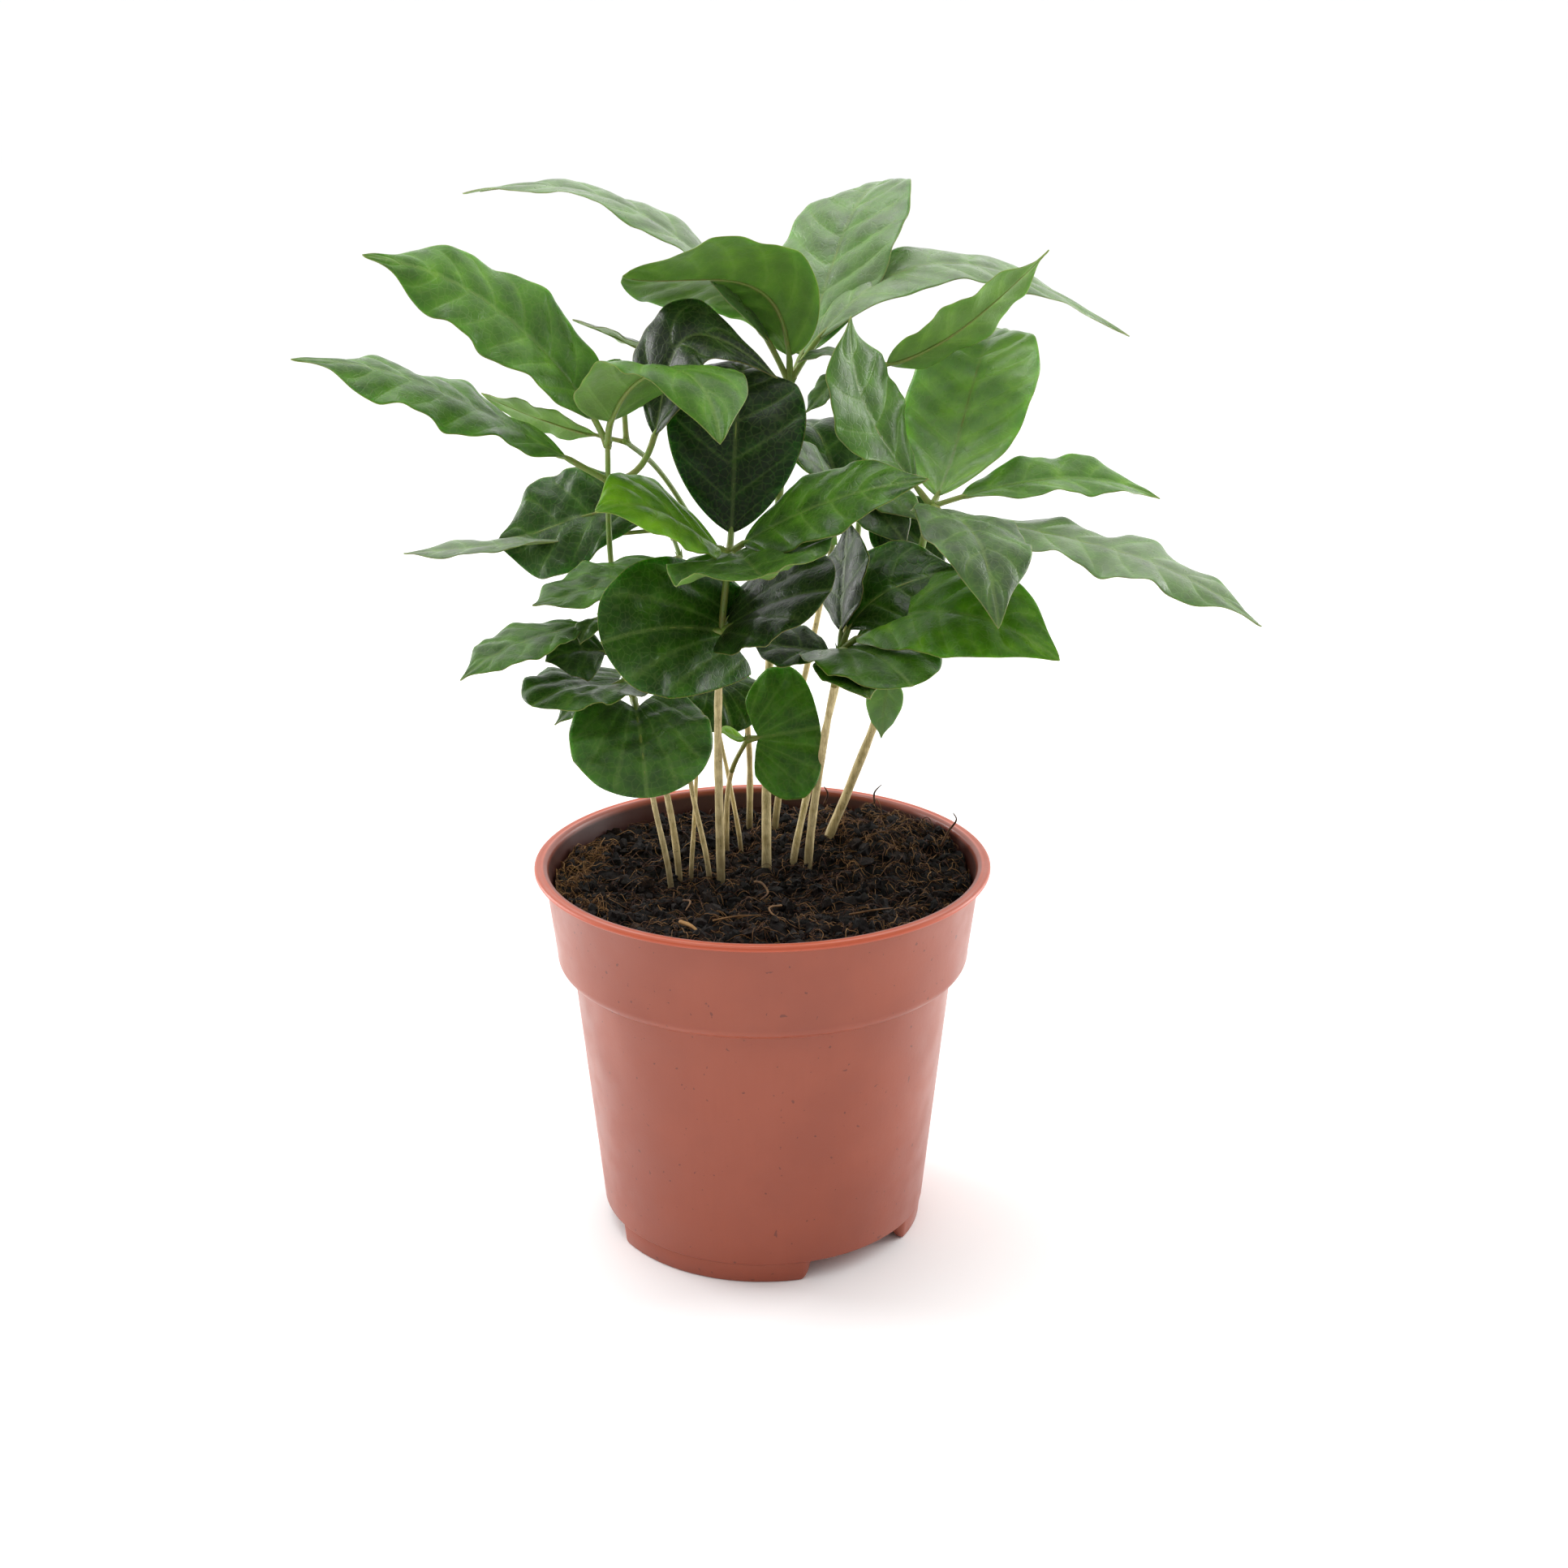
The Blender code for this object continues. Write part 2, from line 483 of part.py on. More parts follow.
def soil_solid():
    """The soil: it fills the pot up to its uneven top."""
    side = [(r - GAP, z + GAP) for r, z in pot_inside()[1:]]
    radii, heights = np.array(side).T
    angle = np.arange(SOIL_STEPS) * 2 * math.pi / SOIL_STEPS
    ring = np.stack([np.cos(angle), np.sin(angle)], axis=1)
    rings = [np.column_stack([ring * r, np.full(SOIL_STEPS, z)]) for r, z in side[:-1]]
    brim = radii[-1] - 0.1
    edge = np.minimum(soil_height(*(ring * brim).T), POT_HEIGHT + 2)
    brim = np.interp(edge, heights, radii)[:, None]
    rings.append(np.column_stack([ring * brim, edge]))
    for share in (0.88, 0.74, 0.6, 0.46, 0.31, 0.16):
        flat = ring * brim * share
        rings.append(np.column_stack([flat, soil_height(*flat.T)]))
    middle = soil_height(np.zeros(1), np.zeros(1))[0]
    return closed_rings(np.array(rings), (0, 0, side[0][1]), (0, 0, middle))


def gap_cutter(number):
    """A block that takes one gap out of the foot, wider where it meets the ground."""
    half = FOOT_RADIUS * math.sin(math.radians(FOOT_GAP / 2))
    top = FLOOR_UNDERSIDE - FOOT_WEB
    edge = [(half, top), (half + 1.2, 2.2), (half + 2.2, 0.7), (half + 3.6, 0.0), (half + 3.6, -1.0)]
    outline = edge + [(-x, z) for x, z in reversed(edge)]
    near, far = FOOT_RADIUS - 6, FOOT_RADIUS + 5
    direction = math.radians(FIRST_GAP + number * 360 / FEET)
    out = np.array((math.cos(direction), math.sin(direction), 0))
    side = np.array((-out[1], out[0], 0))
    rings = [
        [out * r + side * x + np.array((0, 0, z)) for x, z in outline] for r in (near, far)
    ]
    return closed_rings(np.array(rings), np.mean(rings[0], 0), np.mean(rings[1], 0))


# Blender objects

def material(name, colour, roughness):
    """A plain material of one colour."""
    made = bpy.data.materials.new(name)
    made.use_nodes = True
    shader = made.node_tree.nodes["Principled BSDF"]
    shader.inputs["Base Color"].default_value = (*colour, 1)
    shader.inputs["Roughness"].default_value = roughness
    return made


def add_object(name, points, faces, collection, finish=None):
    """A mesh object with outward normals. The points are in mm."""
    mesh = bpy.data.meshes.new(name)
    mesh.from_pydata((np.asarray(points, float) * MM).tolist(), [], np.asarray(faces).tolist())
    build = bmesh.new()
    build.from_mesh(mesh)
    bmesh.ops.recalc_face_normals(build, faces=build.faces)
    for face in build.faces:
        face.smooth = True
    build.to_mesh(mesh)
    build.free()
    obj = bpy.data.objects.new(name, mesh)
    if finish is not None:
        mesh.materials.append(finish)
    collection.objects.link(obj)
    return obj


def boolean(obj, operation, collection, solver):
    """A Boolean modifier with every object of a collection."""
    modifier = obj.modifiers.new(operation.title(), "BOOLEAN")
    modifier.operation = operation
    modifier.solver = solver
    modifier.operand_type = "COLLECTION"
    modifier.collection = collection
    return modifier


def joined(name, solids, parts, finish):
    """One object out of solids that run into each other."""
    helpers = bpy.data.collections.new(name + "_pieces")
    bpy.context.scene.collection.children.link(helpers)
    obj = add_object(name, *solids[0], parts, finish)
    for number, solid in enumerate(solids[1:]):
        add_object(f"{name}_{number}", *solid, helpers)
    boolean(obj, "UNION", helpers, "MANIFOLD")
    graph = bpy.context.evaluated_depsgraph_get()
    mesh = bpy.data.meshes.new_from_object(obj.evaluated_get(graph))
    obj.modifiers.clear()
    obj.data = mesh
    for helper in list(helpers.objects):
        bpy.data.objects.remove(helper)
    bpy.data.collections.remove(helpers)
    return obj


def cutters(name, solids):
    """A hidden collection of cutters."""
    collection = bpy.data.collections.new(name)
    bpy.context.scene.collection.children.link(collection)
    collection.hide_render = True
    for number, solid in enumerate(solids):
        cutter = add_object(f"{name}_{number}", *solid, collection)
        cutter.hide_render = True
        cutter.display_type = "WIRE"
    return collection


def add_pot(parts, finish):
    """The pot: its profile turned by a Screw modifier, with the gaps cut from its foot."""
    mesh = bpy.data.meshes.new("pot")
    profile = [(r * MM, 0, z * MM) for r, z in pot_profile()]
    mesh.from_pydata(profile, [(i, i + 1) for i in range(len(profile) - 1)], [])
    mesh.materials.append(finish)
    pot = bpy.data.objects.new("pot", mesh)
    parts.objects.link(pot)
    turn = pot.modifiers.new("Turn", "SCREW")
    turn.steps = turn.render_steps = POT_STEPS
    turn.use_merge_vertices = True
    turn.merge_threshold = 0.00001
    turn.use_smooth_shade = True
    gaps = cutters("foot_gap_cutter", [gap_cutter(number) for number in range(FEET)])
    boolean(pot, "DIFFERENCE", gaps, "EXACT")
    return pot


def add_soil(parts, finish):
    """The soil, with a plain hole for each stem."""
    soil = add_object("soil", *soil_solid(), parts, finish)
    holes = cutters("stem_hole_cutter", [hole_cutter(seedling) for seedling in SEEDLINGS])
    boolean(soil, "DIFFERENCE", holes, "MANIFOLD")
    return soil


def centre_model():
    """Moves every object by the same distance, so that the whole box is centred on the Z axis."""
    graph = bpy.context.evaluated_depsgraph_get()
    low, high = np.full(3, np.inf), np.full(3, -np.inf)
    for obj in bpy.data.collections["potted_coffee_plant"].objects:
        mesh = obj.evaluated_get(graph).to_mesh()
        points = np.array([vertex.co for vertex in mesh.vertices])
        low, high = np.minimum(low, points.min(0)), np.maximum(high, points.max(0))
    middle = (low + high) / 2
    for obj in bpy.data.objects:
        obj.location = (-middle[0], -middle[1], 0)


def main():
    for obj in list(bpy.data.objects):
        bpy.data.objects.remove(obj, do_unlink=True)
    parts = bpy.data.collections.new("potted_coffee_plant")
    bpy.context.scene.collection.children.link(parts)
    terracotta = material("terracotta_plastic", (0.36, 0.10, 0.07), 0.45)
    soil_brown = material("soil", (0.03, 0.018, 0.012), 0.95)
    tan = material("tan_stem", (0.52, 0.38, 0.17), 0.6)
    green = material("leaf_green", (0.04, 0.12, 0.02), 0.35)
    add_pot(parts, terracotta)
    add_soil(parts, soil_brown)
    for seedling in SEEDLINGS:
        name = f"seedling_{seedling.number:02d}"
        add_object(name + "_stem", *tan_stem(seedling), parts, tan)
        if seedling.leaves:
            joined(name + "_shoot", shoot_solids(seedling), parts, green)
    centre_model()


if __name__ == "__main__":
    main()
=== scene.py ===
"""The looks of a potted coffee plant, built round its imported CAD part.

Shapes are worked out in millimetres about the pot's own axis, with +Z up and the side that
the photograph shows towards -Y. PotFrame turns them into the frame's metres. The pot, the
soil, each tan stem and each green shoot replace the CAD nodes of the same names and keep
their forms; the crumbs, fibres and veins that the solids leave out are added here.
"""

from __future__ import annotations

import logging
import math
from dataclasses import dataclass, field
from enum import Enum
from typing import Any, Mapping, Optional, Sequence

import bpy
import numpy as np
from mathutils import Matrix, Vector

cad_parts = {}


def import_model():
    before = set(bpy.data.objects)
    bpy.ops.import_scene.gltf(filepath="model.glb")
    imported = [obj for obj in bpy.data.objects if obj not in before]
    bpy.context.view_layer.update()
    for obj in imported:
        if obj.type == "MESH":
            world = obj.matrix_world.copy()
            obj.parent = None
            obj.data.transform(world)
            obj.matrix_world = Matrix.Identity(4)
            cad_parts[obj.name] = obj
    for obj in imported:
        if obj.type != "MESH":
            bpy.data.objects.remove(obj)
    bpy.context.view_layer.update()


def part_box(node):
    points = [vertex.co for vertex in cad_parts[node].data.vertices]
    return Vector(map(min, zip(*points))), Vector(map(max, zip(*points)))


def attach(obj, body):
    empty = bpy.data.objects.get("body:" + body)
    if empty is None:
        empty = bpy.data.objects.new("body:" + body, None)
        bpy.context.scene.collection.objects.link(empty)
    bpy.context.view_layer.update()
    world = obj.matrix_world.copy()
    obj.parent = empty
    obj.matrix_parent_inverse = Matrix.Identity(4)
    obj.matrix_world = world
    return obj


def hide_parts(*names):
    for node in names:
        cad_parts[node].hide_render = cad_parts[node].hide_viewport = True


LOG = logging.getLogger("potted_coffee_plant")
Array = np.ndarray
Point = tuple[float, float, float]
MM = 0.001


# ---- arrays


def unit(vectors: Array) -> Array:
    """Scale vectors to length one along the last axis."""
    vectors = np.asarray(vectors, float)
    return vectors / np.maximum(np.linalg.norm(vectors, axis=-1, keepdims=True), 1e-12)


def ease(t: Array) -> Array:
    """Ease from 0 to 1 by 3t^2 - 2t^3, held at its ends."""
    t = np.clip(t, 0.0, 1.0)
    return t * t * (3 - 2 * t)


def ripple(points: Array, size: float, seed: int, count: int = 9) -> Array:
    """Smooth noise from -1 to 1: the mean of sine waves that run in seeded directions.

    Args:
        points: Places in mm, any shape with 3 (or 2) last.
        size: Mean wavelength in mm.
        seed: Seed of the directions and phases.
        count: How many waves are added.

    Returns:
        One value for each place.
    """
    rng = np.random.default_rng(seed)
    ways = unit(rng.normal(size=(count, points.shape[-1])))
    ways = ways * (2 * math.pi / size) * rng.uniform(0.6, 1.6, (count, 1))
    phase = rng.uniform(0, 2 * math.pi, count)
    return np.sin(points @ ways.T + phase).sum(axis=-1) / math.sqrt(count) / 1.4


def smooth_path(controls: Sequence[Point], spacing: float, start: Optional[float] = None,
                end: Optional[float] = None) -> Array:
    """Points on a cubic through the controls, with slopes from their neighbours.

    Args:
        controls: Points the curve passes through, in mm.
        spacing: Distance between the points returned.
        start: Height where the path begins, or its first control.
        end: Height where it ends, or its last control.

    Returns:
        Points at an even spacing, shape (n, 3).
    """
    knots = np.asarray(controls, float)
    chord = np.concatenate([[0], np.cumsum(np.linalg.norm(np.diff(knots, axis=0), axis=1))])
    slope = np.gradient(knots, chord, axis=0)
    at = np.linspace(0, chord[-1], 600)
    k = np.clip(np.searchsorted(chord, at, side="right") - 1, 0, len(chord) - 2)
    step = (chord[k + 1] - chord[k])[:, None]
    t = ((at - chord[k]) / step[:, 0])[:, None]
    fine = ((2 * t**3 - 3 * t**2 + 1) * knots[k] + (t**3 - 2 * t**2 + t) * step * slope[k]
            + (-2 * t**3 + 3 * t**2) * knots[k + 1] + (t**3 - t**2) * step * slope[k + 1])
    length = np.concatenate([[0], np.cumsum(np.linalg.norm(np.diff(fine, axis=0), axis=1))])
    low = 0.0 if start is None else float(np.interp(start, fine[:, 2], length))
    high = length[-1] if end is None else float(np.interp(end, fine[:, 2], length))
    wanted = np.linspace(low, high, max(2, round((high - low) / spacing)) + 1)
    return np.stack([np.interp(wanted, length, fine[:, i]) for i in range(3)], axis=1)


# ---- skins


@dataclass
class Skin:
    """Triangles under construction, in mm, with named values at their points.

    Attributes:
        points: Shape (n, 3).
        faces: Shape (m, 3), facing outwards.
        values: Named arrays of n numbers or n triples, kept as mesh attributes.
        finish: Material index of each face.
    """

    points: Array
    faces: Array
    values: dict[str, Array] = field(default_factory=dict)
    finish: Optional[Array] = None

    def with_finish(self, index: int) -> Skin:
        """Give every face one material index."""
        self.finish = np.full(len(self.faces), index, np.int32)
        return self

    def moved(self, shift: Sequence[float]) -> Skin:
        """Shift every point."""
        self.points = self.points + np.asarray(shift, float)
        return self

    @staticmethod
    def joined(skins: Sequence[Skin]) -> Skin:
        """Put several skins in one. A value that one of them lacks is 0 there."""
        names = {name: value.shape[1:] for skin in skins for name, value in skin.values.items()}
        values = {
            name: np.concatenate([
                skin.values.get(name, np.zeros((len(skin.points), *shape))) for skin in skins
            ])
            for name, shape in names.items()
        }
        starts = np.cumsum([0] + [len(skin.points) for skin in skins[:-1]])
        return Skin(
            np.concatenate([skin.points for skin in skins]),
            np.concatenate([skin.faces + start for skin, start in zip(skins, starts)]),
            values,
            np.concatenate([
                np.zeros(len(skin.faces), np.int32) if skin.finish is None else skin.finish
                for skin in skins
            ]),
        )


def grid_faces(rows: int, columns: int, wrap: bool = False) -> Array:
    """Triangles of a grid of points, row by row. wrap joins the last column to the first."""
    index = np.arange(rows * columns).reshape(rows, columns)
    if wrap:
        index = np.concatenate([index, index[:, :1]], axis=1)
    a, b = index[:-1, :-1].ravel(), index[:-1, 1:].ravel()
    c, d = index[1:, 1:].ravel(), index[1:, :-1].ravel()
    return np.concatenate([np.stack([a, b, c], 1), np.stack([a, c, d], 1)])


def ringed(rings: Array, first: Array, last: Array) -> Skin:
    """A closed skin over rows of rings, each end closed by a fan to one point.

    Args:
        rings: Shape (count, sides, 3), turning the same way about their path.
        first: The point that closes the first ring.
        last: The point that closes the last.

    Returns:
        The closed skin.
    """
    count, sides = rings.shape[:2]
    points = np.concatenate([rings.reshape(-1, 3), [first, last]])
    j = np.arange(sides)
    k = (j + 1) % sides
    top = (count - 1) * sides
    low, high = np.full(sides, count * sides), np.full(sides, count * sides + 1)
    faces = np.concatenate([
        grid_faces(count, sides, wrap=True),
        np.stack([low, k, j], 1), np.stack([high, top + j, top + k], 1),
    ])
    return Skin(points, faces)


def tube(path: Array, radii: Array | float, sides: int) -> Skin:
    """A round tube along a path: a circle in the plane square to it, carried without twist.

    Args:
        path: Points in mm, shape (n, 3).
        radii: One radius, or one for each point.
        sides: Points round the tube.

    Returns:
        The closed tube, with its length in mm in the value "run".
    """
    path = np.asarray(path, float)
    along = unit(np.gradient(path, axis=0))
    across = unit(np.cross(along[0], (0.2, 1.0, 0.1)))
    frame = []
    for direction in along:
        across = unit(across - np.dot(across, direction) * direction)
        frame.append(across)
    side = np.asarray(frame)
    other = np.cross(along, side)
    angle = np.arange(sides) * 2 * math.pi / sides
    ring = side[:, None] * np.cos(angle)[:, None] + other[:, None] * np.sin(angle)[:, None]
    rings = path[:, None] + ring * np.broadcast_to(radii, len(path))[:, None, None]
    skin = ringed(rings, path[0], path[-1])
    run = np.concatenate([[0], np.cumsum(np.linalg.norm(np.diff(path, axis=0), axis=1))])
    skin.values["run"] = np.concatenate([np.repeat(run, sides), [run[0], run[-1]]])
    return skin


def turned(profile: Array, steps: int) -> Skin:
    """A profile of (radius, height) turned about Z; each end is closed on the axis.

    Args:
        profile: Shape (n, 2), from the bottom of the inside up and down the outside.
        steps: Points round the turn.

    Returns:
        The closed skin, outward for that order.
    """
    angle = -np.arange(steps) * 2 * math.pi / steps
    circle = np.stack([np.cos(angle), np.sin(angle)], 1)
    body = profile[(profile[:, 0] > 1e-6)]
    rings = np.concatenate([
        circle[None] * body[:, 0, None, None],
        np.broadcast_to(body[:, 1, None, None], (len(body), steps, 1)),
    ], axis=2)
    return ringed(rings, np.array((0, 0, body[0, 1])), np.array((0, 0, body[-1, 1])))


def arc(x: float, z: float, radius: float, start: float, end: float, count: int) -> list:
    """Points of an arc about (x, z) from one angle to another, in degrees."""
    angle = np.radians(np.linspace(start, end, count))
    return [(x + radius * math.cos(a), z + radius * math.sin(a)) for a in angle]


# ---- finishes


def colour(code: str) -> tuple[float, float, float, float]:
    """An sRGB hex code as linear red, green, blue and a full alpha."""
    parts = np.array([int(code[i:i + 2], 16) / 255 for i in (1, 3, 5)])
    linear = np.where(parts <= 0.04045, parts / 12.92, ((parts + 0.055) / 1.055) ** 2.4)
    return (*(float(part) for part in linear), 1.0)


class Shade:
    """A material's node tree and one way to add to it."""

    def __init__(self, name: str) -> None:
        """Start a material with an empty tree.

        Args:
            name: The material's name.
        """
        self.material = bpy.data.materials.new(name)
        self.material.use_nodes = True
        self.tree = self.material.node_tree
        self.tree.nodes.clear()

    def add(self, kind: str, settings: Optional[Mapping[str, Any]] = None,
            links: Optional[Mapping[Any, Any]] = None, **inputs: Any) -> bpy.types.Node:
        """Add a node.

        Args:
            kind: Blender's node type, without "ShaderNode".
            settings: The node's own properties.
            links: Sockets of other nodes, by the input's name or number.
            **inputs: Fixed input values, with "_" for a space and a leading "i" for a number.

        Returns:
            The node.
        """
        node = self.tree.nodes.new("ShaderNode" + kind)
        for name, value in (settings or {}).items():
            setattr(node, name, value)
        for name, value in inputs.items():
            key = int(name[1:]) if name[0] == "i" and name[1:].isdigit() else name.replace("_", " ")
            node.inputs[key].default_value = value
        for name, socket in (links or {}).items():
            self.tree.links.new(socket, node.inputs[name])
        return node

    def maths(self, operation: str, first: Any, second: Any = 0.0) -> Any:
        """Add a Math node. Each operand is a number or a socket."""
        node = self.add("Math", {"operation": operation})
        for index, value in enumerate((first, second)):
            if isinstance(value, (int, float)):
                node.inputs[index].default_value = value
            else:
                self.tree.links.new(value, node.inputs[index])
        return node.outputs[0]

    def fade(self, value: Any, low: float, high: float, first: float = 0.0,
             last: float = 1.0) -> Any:
        """Add a Map Range that eases from first at low to last at high."""
        node = self.add("MapRange", {"interpolation_type": "SMOOTHSTEP"}, {0: value},
                        i1=low, i2=high, i3=first, i4=last)
        return node.outputs[0]

    def blend(self, share: Any, first: Any, second: Any, way: str = "MIX") -> Any:
        """Add a colour Mix. The share is a number or a socket, a colour a hex code or a socket."""
        node = self.add("Mix", {"data_type": "RGBA", "blend_type": way})
        for index, value in ((0, share), (6, first), (7, second)):
            if isinstance(value, str):
                node.inputs[index].default_value = colour(value)
            elif isinstance(value, (int, float)):
                node.inputs[index].default_value = value
            else:
                self.tree.links.new(value, node.inputs[index])
        return node.outputs[2]

    def noise(self, size_mm: float, detail: float = 2.0, rough: float = 0.5,
              place: Any = None) -> Any:
        """Add a Noise of that feature size on Object coordinates; returns its value."""
        where = place or self.add("TexCoord").outputs["Object"]
        node = self.add("TexNoise", None, {"Vector": where}, Scale=1 / (size_mm * MM),
                        Detail=detail, Roughness=rough)
        return node.outputs["Fac"]

    def attribute(self, name: str) -> Any:
        """Read a mesh attribute as three numbers: returns the Separate node's outputs."""
        read = self.add("Attribute", {"attribute_name": name})
        return self.add("SeparateXYZ", None, {0: read.outputs["Vector"]}).outputs

    def number(self, name: str) -> Any:
        """Read a mesh attribute as one number."""
        return self.add("Attribute", {"attribute_name": name}).outputs["Fac"]

    def surface(self, base: Any, roughness: Any, normal: Any = None,
                **inputs: Any) -> bpy.types.Material:
        """End the tree in a Principled BSDF.

        Args:
            base: A colour socket or a hex code.
            roughness: A number or a socket.
            normal: A socket, or None.
            **inputs: Other inputs of the shader, each a number or a socket.

        Returns:
            The finished material.
        """
        links = {"Normal": normal} if normal is not None else {}
        for name in [name for name, value in inputs.items() if isinstance(value, bpy.types.NodeSocket)]:
            links[name.replace("_", " ")] = inputs.pop(name)
        shader = self.add("BsdfPrincipled", None, links, **inputs)
        for name, value in (("Base Color", base), ("Roughness", roughness)):
            if isinstance(value, str):
                shader.inputs[name].default_value = colour(value)
            elif isinstance(value, (int, float)):
                shader.inputs[name].default_value = value
            else:
                self.tree.links.new(value, shader.inputs[name])
        self.add("OutputMaterial", None, {"Surface": shader.outputs["BSDF"]})
        return self.material


@dataclass(frozen=True)
class PotPlastic:
    """Polypropylene, injection moulded: an even satin skin that goes pale at a glancing angle."""

    body: str = "#9B4A31"
    deep: str = "#92442D"
    # painted light: the lip's top is painted a brighter orange-red for light shining through the thin plastic
    lip: str = "#C4532F"
    # inner: painted shade of the inside wall, and also the colour of the dark specks in the plastic
    inner: str = "#44201A"
    roughness: float = 0.36

    def material(self) -> bpy.types.Material:
        """Build the material."""
        shade = Shade("moulded_polypropylene_terracotta")
        height = shade.add("SeparateXYZ", None, {0: shade.add("TexCoord").outputs["Object"]})
        base = shade.blend(shade.fade(shade.noise(26.0, 3.0), 0.35, 0.7), self.body, self.deep)
        place = shade.add("TexCoord").outputs["Object"]
        drawn = shade.add("Mapping", None, {0: place}, Scale=(1.0, 1.0, 0.06))
        flow = shade.noise(1.6, 3.0, 0.6, drawn.outputs[0])
        base = shade.blend(shade.fade(flow, 0.3, 0.75, 0.0, 0.22), base, self.deep)
        specks = shade.fade(shade.noise(1.5, 1.0, 0.4), 0.735, 0.77, 0.0, 0.55)
        base = shade.blend(specks, base, self.inner)
        # painted light: above about 100.3 mm the lip is blended to the brighter orange-red of light shining through it
        base = shade.blend(shade.fade(height.outputs[2], 0.1003, 0.1012, 0.0, 0.75), base, self.lip)
        # painted shade: where the inner value is set, on the inside wall and half of it on the lip's inner flare, the
        # colour is darkened to inner
        base = shade.blend(shade.number("inner"), base, self.inner)
        grain = shade.noise(0.8, 4.0, 0.6)
        rough = shade.fade(shade.noise(9.0, 3.0), 0.3, 0.75, self.roughness - 0.03,
                           self.roughness + 0.06)
        bump = shade.add("Bump", None, {"Height": grain}, Strength=0.1, Distance=0.0002)
        return shade.surface(base, rough, bump.outputs[0], IOR=1.49)


@dataclass(frozen=True)
class LeafSkin:
    """A coffee leaf's waxy cuticle over green tissue: dark gloss above, paler and duller below.

    Each leaf brings its own tone, which paints its green from deep shade to light shining
    through it, and its haze, which paints a pale sheen for the reflection of the bright surround.
    The veins are drawn from the distance to the nearest one in mm, which the mesh carries, so a
    vein keeps its real width of about 0.3 mm.
    """

    shaded: str = "#122406"
    dark: str = "#27480B"
    middle: str = "#4B7A12"
    bright: str = "#86B822"
    # haze: the painted sheen, a pale grey-green that stands for the reflection of the bright surround
    painted_sheen: str = "#A9B29A"
    under: str = "#82A056"
    vein: str = "#9CB565"
    rim: str = "#A08A5A"

    def material(self) -> bpy.types.Material:
        """Build the material."""
        shade = Shade("coffee_leaf_cuticle")
        rib, pitch, middle = shade.attribute("veins")[:3]
        edge, tone, painted_sheen = shade.attribute("blade")[:3]
        below = shade.number("under")
        half_turn = shade.maths("FRACT", shade.maths("ADD", rib, 0.5))
        away = shade.maths("MULTIPLY", shade.maths("ABSOLUTE", shade.maths("SUBTRACT", half_turn, 0.5)), pitch)
        side_vein = shade.maths("MULTIPLY", shade.fade(away, 0.1, 0.75, 1.0, 0.0),
                                shade.fade(edge, 0.3, 4.0, 0.0, 0.62))
        main_vein = shade.fade(middle, 0.2, 0.85, 1.0, 0.0)
        veins = shade.maths("MAXIMUM", side_vein, main_vein)
        cloud = shade.noise(7.0, 3.0, 0.55)
        # painted light and shade: each leaf's tone moves its green along the ramp, from painted deep shade to a
        # painted glow of light through the blade
        level = shade.maths("ADD", tone, shade.fade(cloud, 0.2, 0.8, -0.13, 0.13))
        # painted shade: the green is made a little darker between the side veins, where the blade swells, and a little
        # lighter along them
        swell = shade.fade(away, 0.4, 3.5, 0.05, -0.05)
        level = shade.maths("ADD", level, swell)
        ramp = shade.add("ValToRGB", None, {0: level})
        stops = ramp.color_ramp.elements
        stops[0].position, stops[0].color = 0.0, colour(self.shaded)
        stops[1].position, stops[1].color = 1.0, colour(self.bright)
        for place, code in ((0.3, self.dark), (0.62, self.middle)):
            stops.new(place).color = colour(code)
        base = shade.blend(shade.maths("MULTIPLY", below, 0.42), ramp.outputs[0], self.under)
        # painted reflection: the haze share, in soft patches, mixes a pale grey-green sheen over the green
        painted_sheen_share = shade.maths("MULTIPLY", painted_sheen, shade.fade(shade.noise(11.0, 2.0), 0.25, 0.75, 0.55, 1.0))
        base = shade.blend(shade.maths("MULTIPLY", painted_sheen_share, 0.4), base, self.painted_sheen)
        cells = shade.add("TexVoronoi", {"feature": "DISTANCE_TO_EDGE"},
                          {"Vector": shade.add("TexCoord").outputs["Object"]}, Scale=1 / (1.9 * MM))
        net = shade.fade(cells.outputs["Distance"], 0.0, 0.12, 1.0, 0.0)
        base = shade.blend(shade.maths("MULTIPLY", net, 0.07), base, self.vein)
        base = shade.blend(shade.maths("MULTIPLY", veins, 0.16), base, self.vein)
        base = shade.blend(shade.fade(edge, 0.05, 0.35, 0.35, 0.0), base, self.rim)
        rough = shade.maths("ADD", shade.fade(shade.noise(2.5, 3.0), 0.3, 0.7, 0.27, 0.4),
                            shade.maths("MULTIPLY", below, 0.16))
        relief = shade.maths("SUBTRACT", shade.maths("MULTIPLY", net, -0.25),
                             shade.maths("MULTIPLY", side_vein, 1.0))
        relief = shade.maths("ADD", relief, shade.maths("MULTIPLY", shade.noise(1.4, 2.0), 0.5))
        bump = shade.add("Bump", None, {"Height": relief}, Strength=0.35, Distance=0.0003)
        gloss = shade.fade(painted_sheen, 0.0, 0.65, 0.26, 0.55)
        return shade.surface(base, rough, bump.outputs[0], IOR=1.4, Specular_IOR_Level=gloss, Subsurface_Weight=0.3,
                             Subsurface_Scale=0.001, Subsurface_Radius=(0.5, 1.0, 0.2))


